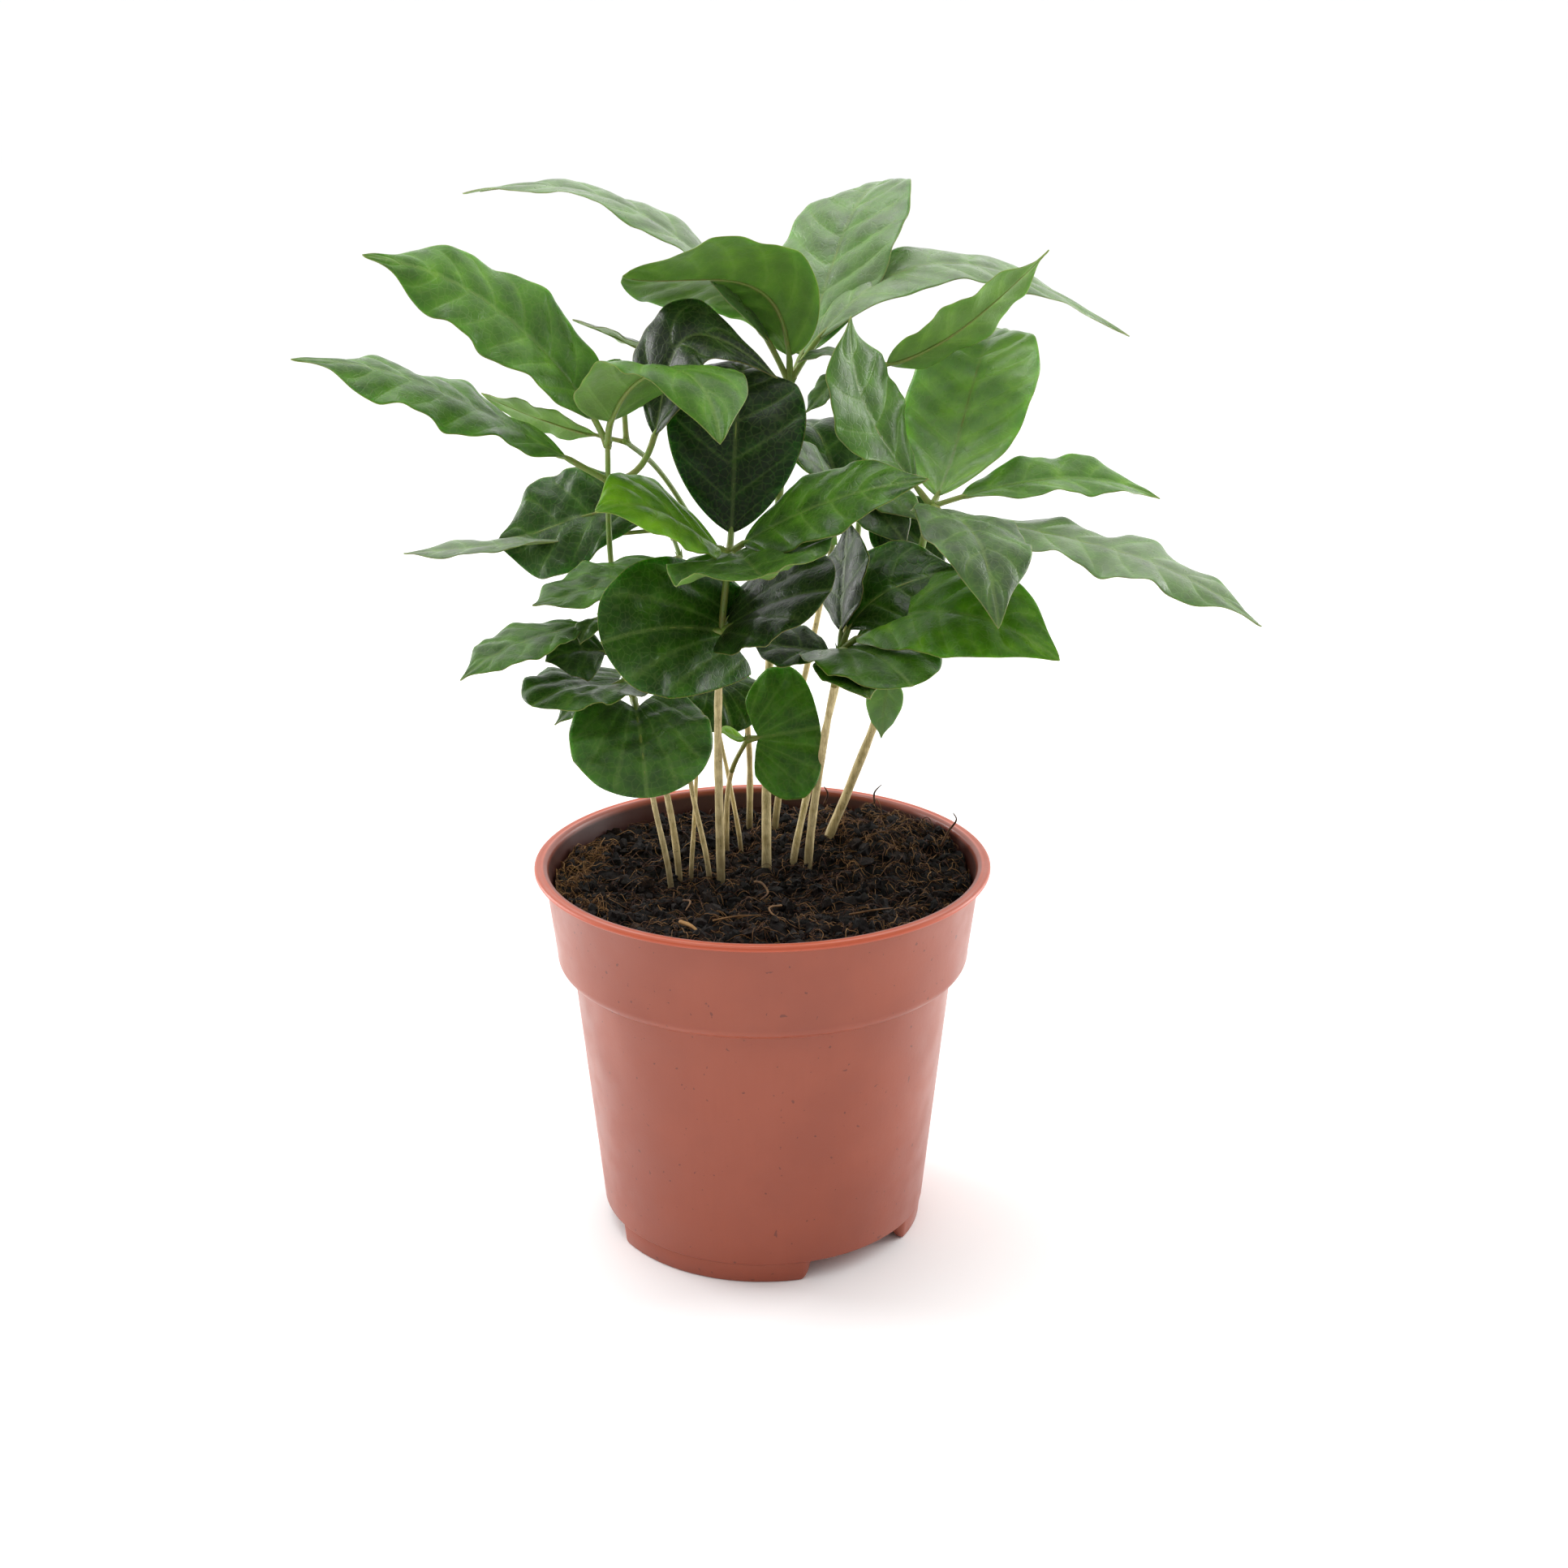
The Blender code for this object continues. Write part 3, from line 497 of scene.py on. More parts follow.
@dataclass(frozen=True)
class StemSkin:
    """A young stem: dull, lined lengthwise, and darker where it leaves the damp soil."""

    name: str
    light: str
    dark: str
    damp: str
    roughness: float = 0.55

    def material(self) -> bpy.types.Material:
        """Build the material."""
        shade = Shade(self.name)
        place = shade.add("TexCoord").outputs["Object"]
        long = shade.add("Mapping", None, {0: place}, Scale=(1.0, 1.0, 0.045))
        lines = shade.noise(0.35, 4.0, 0.65, long.outputs[0])
        tone = shade.maths("ADD", shade.number("tone"), shade.fade(lines, 0.25, 0.75, -0.3, 0.3))
        patch = shade.fade(shade.noise(3.0, 3.0), 0.35, 0.7, -0.15, 0.2)
        base = shade.blend(shade.maths("ADD", tone, patch), self.light, self.dark)
        low = shade.fade(shade.add("SeparateXYZ", None, {0: place}).outputs[2], 0.094, 0.107, 0.75, 0.0)
        base = shade.blend(low, base, self.damp)
        specks = shade.fade(shade.noise(0.8, 2.0), 0.66, 0.72, 0.0, 0.5)
        base = shade.blend(specks, base, self.damp)
        bump = shade.add("Bump", None, {"Height": lines}, Strength=0.5, Distance=0.0002)
        return shade.surface(base, self.roughness, bump.outputs[0], IOR=1.45)


@dataclass(frozen=True)
class SoilCrumb:
    """Potting soil: damp bark and peat crumbs, nearly black in the gaps and dull brown on top."""

    black: str = "#0A0706"
    brown: str = "#221713"
    pale: str = "#46301F"

    def material(self) -> bpy.types.Material:
        """Build the material."""
        shade = Shade("damp_potting_soil")
        level = shade.maths("ADD", shade.number("tone"), shade.fade(shade.noise(1.6, 4.0, 0.7), 0.3, 0.75, -0.2, 0.35))
        ramp = shade.add("ValToRGB", None, {0: level})
        stops = ramp.color_ramp.elements
        stops[0].position, stops[0].color = 0.05, colour(self.black)
        stops[1].position, stops[1].color = 1.0, colour(self.pale)
        stops.new(0.55).color = colour(self.brown)
        bump = shade.add("Bump", None, {"Height": shade.noise(0.5, 5.0, 0.7)}, Strength=0.8,
                         Distance=0.0005)
        return shade.surface(ramp.outputs[0], 0.85, bump.outputs[0], Specular_IOR_Level=0.25)


@dataclass(frozen=True)
class RootFibre:
    """Coir and root threads: dry, from rust to straw, each with its own tone."""

    rust: str = "#3A1D10"
    straw: str = "#A67C4A"

    def material(self) -> bpy.types.Material:
        """Build the material."""
        shade = Shade("coir_and_root_fibre")
        level = shade.maths("ADD", shade.number("tone"), shade.fade(shade.noise(2.0, 2.0), 0.3, 0.7, -0.15, 0.15))
        base = shade.blend(level, self.rust, self.straw)
        return shade.surface(base, 0.75, None, Specular_IOR_Level=0.3)


@dataclass(frozen=True)
class StudioFloor:
    """A matt white board."""

    paint: str = "#FFFFFF"

    def material(self) -> bpy.types.Material:
        """Build the material."""
        shade = Shade("matt_white_board")
        return shade.surface(self.paint, 0.9, None, Specular_IOR_Level=0.1)


# ---- the frame


@dataclass
class PotFrame:
    """Where the pot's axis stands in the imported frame, and how a piece is put there."""

    axis_x: float
    axis_y: float

    @staticmethod
    def found() -> PotFrame:
        """Read the axis from the CAD pot's box."""
        low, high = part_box("pot")
        return PotFrame((low[0] + high[0]) / 2, (low[1] + high[1]) / 2)

    def metres(self, points: Array) -> Array:
        """Turn mm about the pot's axis into the frame's metres."""
        return np.asarray(points, float) * MM + (self.axis_x, self.axis_y, 0.0)

    def piece(self, name: str, skin: Skin, finishes: Sequence[bpy.types.Material],
              nodes: Sequence[str] = (),
              smooth: bool = True) -> bpy.types.Object:
        """Make the mesh object of a skin and hand it to the frame.

        Args:
            name: The object's name.
            skin: Its points, faces and values.
            finishes: Its materials, in the order of the faces' indices.
            nodes: CAD nodes that it replaces.
            smooth: Whether its faces are shaded smooth.

        Returns:
            The object, which rides on the root body.
        """
        mesh = bpy.data.meshes.new(name)
        points, faces = self.metres(skin.points), skin.faces
        mesh.vertices.add(len(points))
        mesh.vertices.foreach_set("co", points.astype(np.float32).ravel())
        mesh.loops.add(faces.size)
        mesh.loops.foreach_set("vertex_index", faces.astype(np.int32).ravel())
        mesh.polygons.add(len(faces))
        mesh.polygons.foreach_set("loop_start", np.arange(0, faces.size, 3, dtype=np.int32))
        mesh.polygons.foreach_set("use_smooth", np.full(len(faces), smooth))
        if skin.finish is not None:
            mesh.polygons.foreach_set("material_index", skin.finish)
        for key, value in skin.values.items():
            vector = value.ndim == 2
            kept = mesh.attributes.new(key, "FLOAT_VECTOR" if vector else "FLOAT", "POINT")
            kept.data.foreach_set("vector" if vector else "value", value.astype(np.float32).ravel())
        mesh.update(calc_edges=True)
        mesh.validate()
        for finish in finishes:
            mesh.materials.append(finish)
        made = bpy.data.objects.new(name, mesh)
        bpy.context.scene.collection.objects.link(made)
        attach(made, "root")
        if nodes:
            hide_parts(*nodes)
        LOG.info("%s: %d triangles", name, len(faces))
        return made


# ---- pot


@dataclass
class NurseryPot:
    """The pot: a thin turned wall with a flat lip and a wide band, on three arcs of foot."""

    height: float = 102.0
    rim_radius: float = 60.0
    lip: float = 1.4
    wall: float = 1.2
    band_top: float = 57.3
    band_foot: float = 54.6
    band_foot_height: float = 78.0
    step_radius: float = 50.7
    step_height: float = 74.4
    body_foot: float = 43.7
    floor_underside: float = 5.5
    floor: float = 1.5
    foot_radius: float = 42.9
    foot_wall: float = 2.0
    feet: int = 3
    foot_gap: float = 40.0
    first_gap: float = 308.0
    steps: int = 240
    flare: int = 8

    def inside(self) -> list:
        """The inner profile, from the floor up to the lip."""
        floor = self.floor_underside + self.floor
        step = arc(self.step_radius + 1.6, self.step_height - 1.2, 2.6, 180, 100, 8)
        return [
            (8.0, floor), (20.0, floor), (self.body_foot - 2 * self.wall, floor),
            *arc(self.body_foot - 2 * self.wall, floor + self.wall, self.wall, -60, 0, 5),
            (self.step_radius - self.wall, self.step_height - 1.6),
            *step,
            (self.band_foot - 1.8, self.band_foot_height - 1.6),
            (self.band_foot - self.wall, self.band_foot_height + 0.6),
            (self.band_top - self.wall, self.height - self.lip - 0.4),
        ]

    def over_lip(self) -> list:
        """The lip: a small flare, a shallow groove in its flat top and a rounded outer edge."""
        top, half = self.height, self.lip / 2
        return [
            *arc(self.band_top + 0.25, top - 1.15, 1.15, 170, 95, self.flare),
            (self.band_top + 0.55, top), (self.band_top + 0.8, top - 0.1),
            (self.band_top + 1.3, top - 0.12), (self.band_top + 1.55, top - 0.02),
            (self.rim_radius - half - 0.1, top),
            *arc(self.rim_radius - half, top - half, half, 88, -86, 14),
            (self.band_top + 0.7, top - self.lip - 0.02), (self.band_top + 0.2, top - self.lip - 0.12),
        ]

    def profile(self) -> Array:
        """The whole profile: up the inside, over the lip, down the outside, in to the axis."""
        corner = 3.2
        chamfer = arc(self.band_foot - corner, self.band_foot_height - 0.4, corner, 0, -72, 10)
        foot = self.floor_underside
        outside = [
            (self.band_top, self.height - self.lip - 0.4),
            (self.band_foot + 0.1, self.band_foot_height + 1.0),
            *chamfer,
            (self.step_radius + 0.25, self.step_height), (self.step_radius, self.step_height - 0.3),
            (self.step_radius - 0.25, self.step_height - 1.0),
            (self.body_foot + 0.02, foot + 0.4), (self.body_foot - 0.1, foot + 0.12),
            (self.body_foot - 0.5, foot), (30.0, foot), (8.0, foot),
        ]
        return np.array(self.inside() + self.over_lip() + outside)

    def foot(self, number: int) -> Skin:
        """One arc of the foot, flush with the wall over it.

        The section is an upright wall. Within 3.4 mm of each end its lower edge rises by a
        square law to the floor, and the wall curls 1.5 mm inwards.

        Args:
            number: Which foot, counted from the first gap.

        Returns:
            A closed skin that runs into the pot's floor.
        """
        pitch, top = 360 / self.feet, self.floor_underside + 0.3
        width = pitch - self.foot_gap
        start = self.first_gap + self.foot_gap / 2 + number * pitch
        share = 0.5 - 0.5 * np.cos(np.pi * np.linspace(0, 1, 90))
        turn = np.radians(start + share * width)
        from_end = np.minimum(share, 1 - share) * math.radians(width) * self.foot_radius
        near = np.clip(1 - from_end / 3.4, 0, 1)
        lift, inset = (self.floor_underside * 0.97) * near**2, 1.5 * near**2.5
        inner, outer = self.foot_radius - self.foot_wall, self.foot_radius
        over = self.body_foot - 0.28
        section = np.array([
            (inner, top), (inner, 0.5), (inner + 0.15, 0.15), (inner + 0.5, 0.0),
            (outer - 0.6, 0.0), (outer - 0.2, 0.12), (outer + 0.02, 0.5), (over, top - 0.55), (over, top),
        ])
        height = section[:, 1] + lift[:, None] * (1 - section[:, 1] / top)[None]
        radius = np.broadcast_to(section[:, 0], height.shape) - inset[:, None]
        rings = np.stack([
            radius * np.cos(turn)[:, None], radius * np.sin(turn)[:, None], height,
        ], axis=2)
        return ringed(rings, rings[0].mean(0), rings[-1].mean(0))

    def build(self, frame: PotFrame, finish: bpy.types.Material) -> bpy.types.Object:
        """Make the pot in place of its CAD node."""
        wall = facing_out(turned(self.profile(), self.steps))
        count = len(self.inside()) * self.steps
        # the inner value marks the painted shade: 1 on the whole inside wall, 0.55 on the lip's inner flare
        wall.values["inner"] = np.zeros(len(wall.points))
        wall.values["inner"][:count] = 1.0
        wall.values["inner"][count:count + self.flare * self.steps] = 0.55
        skins = [wall] + [facing_out(self.foot(number)) for number in range(self.feet)]
        return frame.piece("nursery_pot", Skin.joined(skins), [finish], ["pot"])


def facing_out(skin: Skin) -> Skin:
    """Turn a closed skin so that its volume is positive, which faces it outwards."""
    corner = skin.points[skin.faces]
    volume = np.einsum("ij,ij->i", corner[:, 0], np.cross(corner[:, 1], corner[:, 2])).sum()
    if volume < 0:
        skin.faces = skin.faces[:, ::-1]
    return skin


# ---- soil


@dataclass
class Soil:
    """The soil: an uneven bed with crumbs, threads and a few loose roots lying on it."""

    level: float = 96.0
    steps: int = 300
    rings: int = 120
    crumbs: int = 3600
    threads: int = 1900
    seed: int = 41

    def height(self, x: Array, y: Array) -> Array:
        """The bed: higher to the front, heaped at the back right, with slow waves."""
        front = 3.4 * np.clip((-y - 8) / 40, 0, 1) ** 1.3
        heap = 5.5 * np.exp(-(((x - 30) / 24) ** 2) - ((y - 26) / 24) ** 2)
        waves = 0.7 * np.sin(0.31 * x + 1.3) * np.sin(0.27 * y + 0.4)
        waves = waves + 0.45 * np.sin(0.55 * x - 0.4 * y + 2)
        return self.level + front + heap + waves

    def rough_height(self, x: Array, y: Array) -> Array:
        """The bed with its small lumps, made of ripples 13, 6 and 2.6 mm long."""
        flat = np.stack([x, y], axis=-1)
        lumps = 1.1 * ripple(flat, 13.0, 3) + 0.8 * np.abs(ripple(flat, 6.0, 5)) ** 0.7
        return self.height(x, y) + lumps + 0.3 * ripple(flat, 2.6, 7) - 0.7

    def brim(self, height: Array) -> Array:
        """Radius inside the pot's wall at a height, 0.35 mm off it."""
        return np.interp(height, (5.5, 73.0, 75.0, 76.4, 78.4, 99.0, 110.0),
                         (41.9, 49.0, 49.6, 52.0, 53.0, 55.3, 55.3))

    def bed(self) -> Skin:
        """The closed bed: rings up the pot's inside, then in over the top to the middle."""
        angle = np.arange(self.steps) * 2 * math.pi / self.steps
        circle = np.stack([np.cos(angle), np.sin(angle)], 1)
        rings = []
        for z in (7.4, 40.0, 72.0, 80.0):
            rings.append(np.column_stack([circle * self.brim(np.array(z)), np.full(self.steps, z)]))
        edge = np.minimum(self.rough_height(*(circle * 55.0).T), 104.0)
        reach = self.brim(edge)[:, None]
        for share in 1 - np.linspace(0, 0.985, self.rings) ** 1.0:
            flat = circle * reach * share
            z = self.rough_height(*flat.T)
            z = z + (edge - z) * ease((np.array(share) - 0.9) / 0.1)
            rings.append(np.column_stack([flat, z]))
        middle = float(self.rough_height(np.zeros(1), np.zeros(1))[0])
        skin = ringed(np.array(rings), np.array((0, 0, 7.4)), np.array((0, 0, middle)))
        skin.values["tone"] = 0.12 + 0.15 * ripple(skin.points, 6.0, 11)
        return skin

    def scattered(self, count: int, rng: np.random.Generator, reach: float = 54.0) -> Array:
        """Seeded places evenly over the bed."""
        radius = reach * np.sqrt(rng.uniform(0, 1, count))
        angle = rng.uniform(0, 2 * math.pi, count)
        return np.stack([radius * np.cos(angle), radius * np.sin(angle)], 1)

    def crumb_skin(self) -> Skin:
        """Lumps: spheres of 5 rings by 6 points, each stretched, dented and turned."""
        rng = np.random.default_rng(self.seed)
        place = self.scattered(self.crumbs, rng)
        size = 0.4 + 1.5 * rng.uniform(0, 1, self.crumbs) ** 3.2
        polar, turn = np.radians([28, 68, 112, 152]), np.arange(6) * math.pi / 3
        ball = np.stack([
            np.sin(polar)[:, None] * np.cos(turn), np.sin(polar)[:, None] * np.sin(turn),
            np.broadcast_to(np.cos(polar)[:, None], (4, 6)),
        ], axis=2)
        pattern = ringed(ball[::-1], np.array((0, 0, -1.0)), np.array((0, 0, 1.0)))
        count = len(pattern.points)
        stretch = rng.uniform(0.4, 1.45, (self.crumbs, 1, 3))
        dents = rng.uniform(0.6, 1.25, (self.crumbs, count, 1))
        tilt = random_turns(self.crumbs, rng)
        body = pattern.points[None] * stretch * dents * size[:, None, None]
        body = np.einsum("nij,nkj->nki", tilt, body)
        z = self.rough_height(*place.T) + size * 0.25
        body = body + np.column_stack([place, z])[:, None]
        faces = pattern.faces[None] + (np.arange(self.crumbs) * count)[:, None, None]
        skin = Skin(body.reshape(-1, 3), faces.reshape(-1, 3))
        tone = np.clip(rng.normal(0.22, 0.17, self.crumbs), 0, 1)
        skin.values["tone"] = np.repeat(tone, count)
        return skin

    def thread_skin(self, place: Array, length: Array, width: Array, rise: Array, tone: Array,
                    rng: np.random.Generator) -> Skin:
        """Threads: arcs that wander over the bed, as thin three-sided tubes.

        Args:
            place: Middle of each, shape (n, 2).
            length: Length of each.
            width: Radius of each.
            rise: How far each stands up at its middle.
            tone: Straw share of each.
            rng: Source of their turns.

        Returns:
            One skin of all the threads.
        """
        count, knots = len(place), 9
        t = np.linspace(-0.5, 0.5, knots)
        heading = rng.uniform(0, 2 * math.pi, (count, 1))
        bend = rng.normal(0, 1.6, (count, 1))
        wander = rng.normal(0, 0.35, (count, 1)) * np.sin(2 * math.pi * t * rng.uniform(1, 2, (count, 1)))
        turn = heading + bend * t + wander
        step = length[:, None] / knots
        x = place[:, :1] + np.cumsum(np.cos(turn) * step, axis=1) - np.cos(heading) * length[:, None] / 2
        y = place[:, 1:] + np.cumsum(np.sin(turn) * step, axis=1) - np.sin(heading) * length[:, None] / 2
        reach = np.hypot(x, y)
        inside = np.minimum(1.0, 54.6 / np.maximum(reach, 1e-6))
        x, y = x * inside, y * inside
        z = self.rough_height(x, y) + 0.35 + rise[:, None] * (1 - (2 * t) ** 2)
        path = np.stack([x, y, z], axis=2)
        along = unit(np.gradient(path, axis=1))
        side = unit(np.cross(along, (0.0, 0.0, 1.0)))
        over = np.cross(side, along)
        angle = np.arange(3) * 2 * math.pi / 3
        thin = width[:, None] * (1 - 0.6 * np.abs(2 * t)[None] ** 3)
        ring = (side[:, :, None] * np.cos(angle)[:, None] + over[:, :, None] * np.sin(angle)[:, None])
        rings = path[:, :, None] + ring * thin[:, :, None, None]
        body = np.concatenate([rings.reshape(count, -1, 3), path[:, :1], path[:, -1:]], axis=1)
        pattern = ringed(rings[0], path[0, 0], path[0, -1]).faces
        faces = pattern[None] + (np.arange(count) * body.shape[1])[:, None, None]
        skin = Skin(body.reshape(-1, 3), faces.reshape(-1, 3))
        skin.values["tone"] = np.repeat(tone, body.shape[1])
        return skin

    def threads_all(self) -> Skin:
        """Threads over the whole bed, and thicker mats along the left rim and the back right."""
        rng = np.random.default_rng(self.seed + 1)
        even = self.scattered(self.threads, rng)
        angle = rng.uniform(math.radians(150), math.radians(215), 420)
        left = np.stack([np.cos(angle), np.sin(angle)], 1) * rng.uniform(46, 55, (420, 1))
        heap = rng.normal((33, 27), (14, 13), (420, 2))
        heap = heap[np.hypot(*heap.T) < 54]
        place = np.concatenate([even, left, heap])
        count = len(place)
        length = rng.uniform(3, 12, count)
        width = rng.uniform(0.06, 0.16, count)
        rise = np.abs(rng.normal(0, 0.9, count))
        tone = np.concatenate([
            rng.uniform(0, 1, len(even)) ** 2.2 * 0.6, rng.uniform(0.15, 0.8, len(left)),
            rng.uniform(0.05, 0.5, len(heap)),
        ])
        return self.thread_skin(place, length, width, rise, tone, rng)

    def loose_roots(self) -> Skin:
        """The few thicker roots and bits that stand clear of the bed in the photograph."""
        paths = (
            ([(-2, -8, 98.5), (0, -13, 100), (1.5, -18, 99.5), (-0.5, -23, 99.4)], 0.35, 0.25),
            ([(5, -28, 100), (2, -33, 101.4), (3, -38, 101.6), (6, -41, 101)], 0.3, 0.35),
            ([(-20, -22, 99), (-18, -28, 101), (-19, -34, 101)], 0.3, 0.3),
            ([(48, 14, 100), (50, 15, 104), (52, 14, 108), (51, 13, 110)], 0.35, 0.15),
            ([(31, 40, 103), (31, 41, 106), (33, 42, 108)], 0.3, 0.15),
            ([(17, 45, 101), (18, 46, 104), (17, 46, 106)], 0.35, 0.1),
            ([(-12, -38, 100), (-6, -40, 102), (0, -38, 101.5)], 0.28, 0.45),
            ([(22, -34, 100), (28, -36, 102), (33, -32, 101)], 0.3, 0.3),
            ([(-20, -41, 101), (-17, -45, 101.4), (-15, -48, 101)], 0.55, 1.0),
        )
        skins = []
        for points, radius, tone in paths:
            path = smooth_path(points, 0.7)
            taper = radius * (1 - 0.6 * np.linspace(0, 1, len(path)) ** 2)
            skin = tube(path, taper, 6)
            skin.values["tone"] = np.full(len(skin.points), tone)
            skins.append(skin)
        return Skin.joined(skins)

    def build(self, frame: PotFrame, soil: bpy.types.Material, fibre: bpy.types.Material) -> None:
        """Make the bed, its crumbs and its threads in place of the CAD soil."""
        frame.piece("soil_bed", facing_out(self.bed()), [soil], ["soil"])
        frame.piece("soil_crumbs", self.crumb_skin(), [soil], (), smooth=False)
        frame.piece("soil_threads", Skin.joined([self.threads_all(), self.loose_roots()]), [fibre],
                    ())


def random_turns(count: int, rng: np.random.Generator) -> Array:
    """Rotation matrices from seeded unit quaternions, shape (count, 3, 3)."""
    w, x, y, z = unit(rng.normal(size=(count, 4))).T
    return np.stack([
        np.stack([1 - 2 * (y * y + z * z), 2 * (x * y - z * w), 2 * (x * z + y * w)], 1),
        np.stack([2 * (x * y + z * w), 1 - 2 * (x * x + z * z), 2 * (y * z - x * w)], 1),
        np.stack([2 * (x * z - y * w), 2 * (y * z + x * w), 1 - 2 * (x * x + y * y)], 1),
    ], axis=1)


# ---- seedlings


class LeafKind(Enum):
    """What a leaf is: a true leaf ends in a drip tip, a seed leaf is round and lobed."""

    TRUE = "true"
    SEED = "seed"


@dataclass
class Leaf:
    """One leaf. Lengths in mm, angles in degrees, shares from 0 to 1.

    Attributes:
        node: Where its stalk meets the stem.
        tip: Where its tip is.
        width: Greatest width.
        arch: Rise of the midrib over its chord near the base and the tip.
        sway: The same sideways.
        droop: How far the last part of the tip hangs.
        roll: Turn of the blade about its midrib, at its base.
        twist: How much further the tip is turned.
        fold: Rise of each half from the midrib, at the base and at the tip.
        curl: Bend of each half across its width.
        bend: More of it on the left half and on the right.
        wave: Height of the waves along its margin.
        tone: Green, from 0 for deep shade to 1 for light seen through the blade.
        painted_sheen: Share of a painted sheen, a pale grey-green painted over the green for the reflection of the
            bright surround; it also raises the gloss.
        quilt: How far the blade swells between its veins, as a share of its width.
        crinkle: Height of its small creases.
    """

    name: str
    node: Point
    tip: Point
    width: float
    arch: tuple[float, float] = (0.0, 0.0)
    sway: tuple[float, float] = (0.0, 0.0)
    droop: float = 0.0
    roll: float = 0.0
    twist: float = 0.0
    fold: float = 12.0
    fold_tip: Optional[float] = None
    curl: float = -14.0
    bend: tuple[float, float] = (0.0, 0.0)
    wave: float = 0.8
    waves: float = 3.0
    phase: float = 0.0
    petiole: float = 6.0
    peak: float = 0.48
    full: float = 0.8
    drip: float = 0.5
    lobe: Optional[float] = None
    tone: float = 0.35
    painted_sheen: float = 0.25
    quilt: float = 0.024
    crinkle: float = 0.12
    thickness: float = 0.36

    @property
    def kind(self) -> LeafKind:
        """A lobe makes it a seed leaf."""
        return LeafKind.TRUE if self.lobe is None else LeafKind.SEED

    def half(self, u: Array) -> Array:
        """Half the blade's width at shares u of its length.

        A true leaf is a sine bent so that its peak lies at the given share, raised to a power
        and narrowed over its last quarter. A seed leaf is two quarter ellipses.
        """
        if self.kind is LeafKind.SEED:
            back = np.sqrt(1 - 0.68 * np.clip((0.42 - u) / 0.42, 0, 1) ** 2)
            front = np.sqrt(1 - np.clip((u - 0.42) / 0.58, 0, 1) ** (1.7 + self.full / 2))
            return self.width / 2 * np.where(u < 0.42, back, front)
        power = math.log(0.5) / math.log(self.peak)
        half = np.sin(math.pi * np.clip(u, 0, 1) ** power).clip(0) ** self.full
        return self.width / 2 * half * (1 - self.drip * ease((u - 0.74) / 0.26))

    def midrib(self, root: Array, s: Array) -> tuple[Array, Array]:
        """The midrib: a chord from root to tip, a cubic rise over it and a hanging end.

        Args:
            root: Where the stalk starts, on the stem's line.
            s: Shares of the length.

        Returns:
            Its points, and the way its top faces before the roll.
        """
        chord = np.array(self.tip, float) + (0, 0, self.droop) - root
        along = unit(chord)
        up = unit(np.array((0, 0, 1.0)) - along[2] * along)
        s = s[:, None]

        def bulge(pair: tuple[float, float]) -> Array:
            return 13.5 * s * (1 - s) * ((2 / 3 - s) * pair[0] + (s - 1 / 3) * pair[1])

        hang = self.droop * np.clip((s - 0.55) / 0.45, 0, None) ** 2
        line = root + s * chord + bulge(self.arch) * up + bulge(self.sway) * np.cross(along, up)
        return line - hang * np.array((0, 0, 1.0)), up

    def axes(self, root: Array, s: Array) -> tuple[Array, Array, Array, Array]:
        """The midrib with its direction, its right side and its normal after the roll."""
        line, up = self.midrib(root, s)
        along = unit(self.midrib(root, s + 1e-3)[0] - self.midrib(root, s - 1e-3)[0])
        normal = unit(up - np.sum(up * along, axis=1, keepdims=True) * along)
        right = np.cross(along, normal)
        share = self.petiole / float(np.linalg.norm(np.array(self.tip, float) - root))
        roll = np.radians(self.roll + self.twist * np.clip((s - share) / (1 - share), 0, 1))[:, None]
        return (line, along, right * np.cos(roll) + normal * np.sin(roll),
                normal * np.cos(roll) - right * np.sin(roll))

    def blade(self, root: Array) -> Skin:
        """The blade: each half a folded, curled arc across the midrib, waved at its margin.

        The skin is the middle surface moved half its thickness both ways. It carries the
        place of the veins: "veins" is (count of the side vein, mm between them, mm from the
        midrib) and "blade" is (mm from the margin, tone, haze).
        """
        length = float(np.linalg.norm(np.array(self.tip, float) - root))
        share = self.petiole / length
        rows = int(np.clip(length / 0.85, 18, 96))
        columns = 25 if self.width > 14 else 15
        u = 0.5 - 0.5 * np.cos(np.pi * np.linspace(0, 1, rows)) if self.lobe is not None else np.linspace(0, 1, rows)
        v = np.sin(np.linspace(-1, 1, columns) * math.pi / 2) * 0.35 + np.linspace(-1, 1, columns) * 0.65
        line, along, right, normal = self.axes(root, share + (1 - share) * u)
        half = np.maximum(self.half(u), np.where(u > 0.5, 0.12, 0.7))[:, None]
        last = self.fold - 8 if self.fold_tip is None else self.fold_tip
        fold = np.radians(self.fold + (last - self.fold) * u)[:, None]
        curl, out = np.radians(self.curl + np.where(v < 0, *self.bend))[None], np.abs(v)[None]
        reach = (np.sin(fold + curl * out) - np.sin(fold)) / curl
        rise = half * (np.cos(fold) - np.cos(fold + curl * out)) / curl
        phase = self.phase + np.where(v < 0, 1.9, 0.0)
        swell = np.sin(math.pi * u)[:, None].clip(0)
        rise = rise + self.wave * out**1.8 * np.sin(2 * math.pi * self.waves * u[:, None] + phase) * swell**0.5
        rise = rise + 0.22 * self.wave * out**3 * np.sin(2 * math.pi * self.waves * 2.7 * u[:, None] + 2 * phase) * swell
        span = length - self.petiole
        pairs = float(np.clip(round(span / 8.5), 3, 8))
        slant = 0.55 * (self.width / 2) / span
        rib = pairs * (u[:, None] - slant * out * (0.75 + 0.5 * out)) + np.where(v < 0, 0.2, 0.0)
        if self.lobe is not None:
            rib = 3.2 * np.arctan2(out * half, span * (u[:, None] + 0.12)) + 0.1
        pillow = np.abs(np.sin(math.pi * rib)) ** 0.7 - 0.5
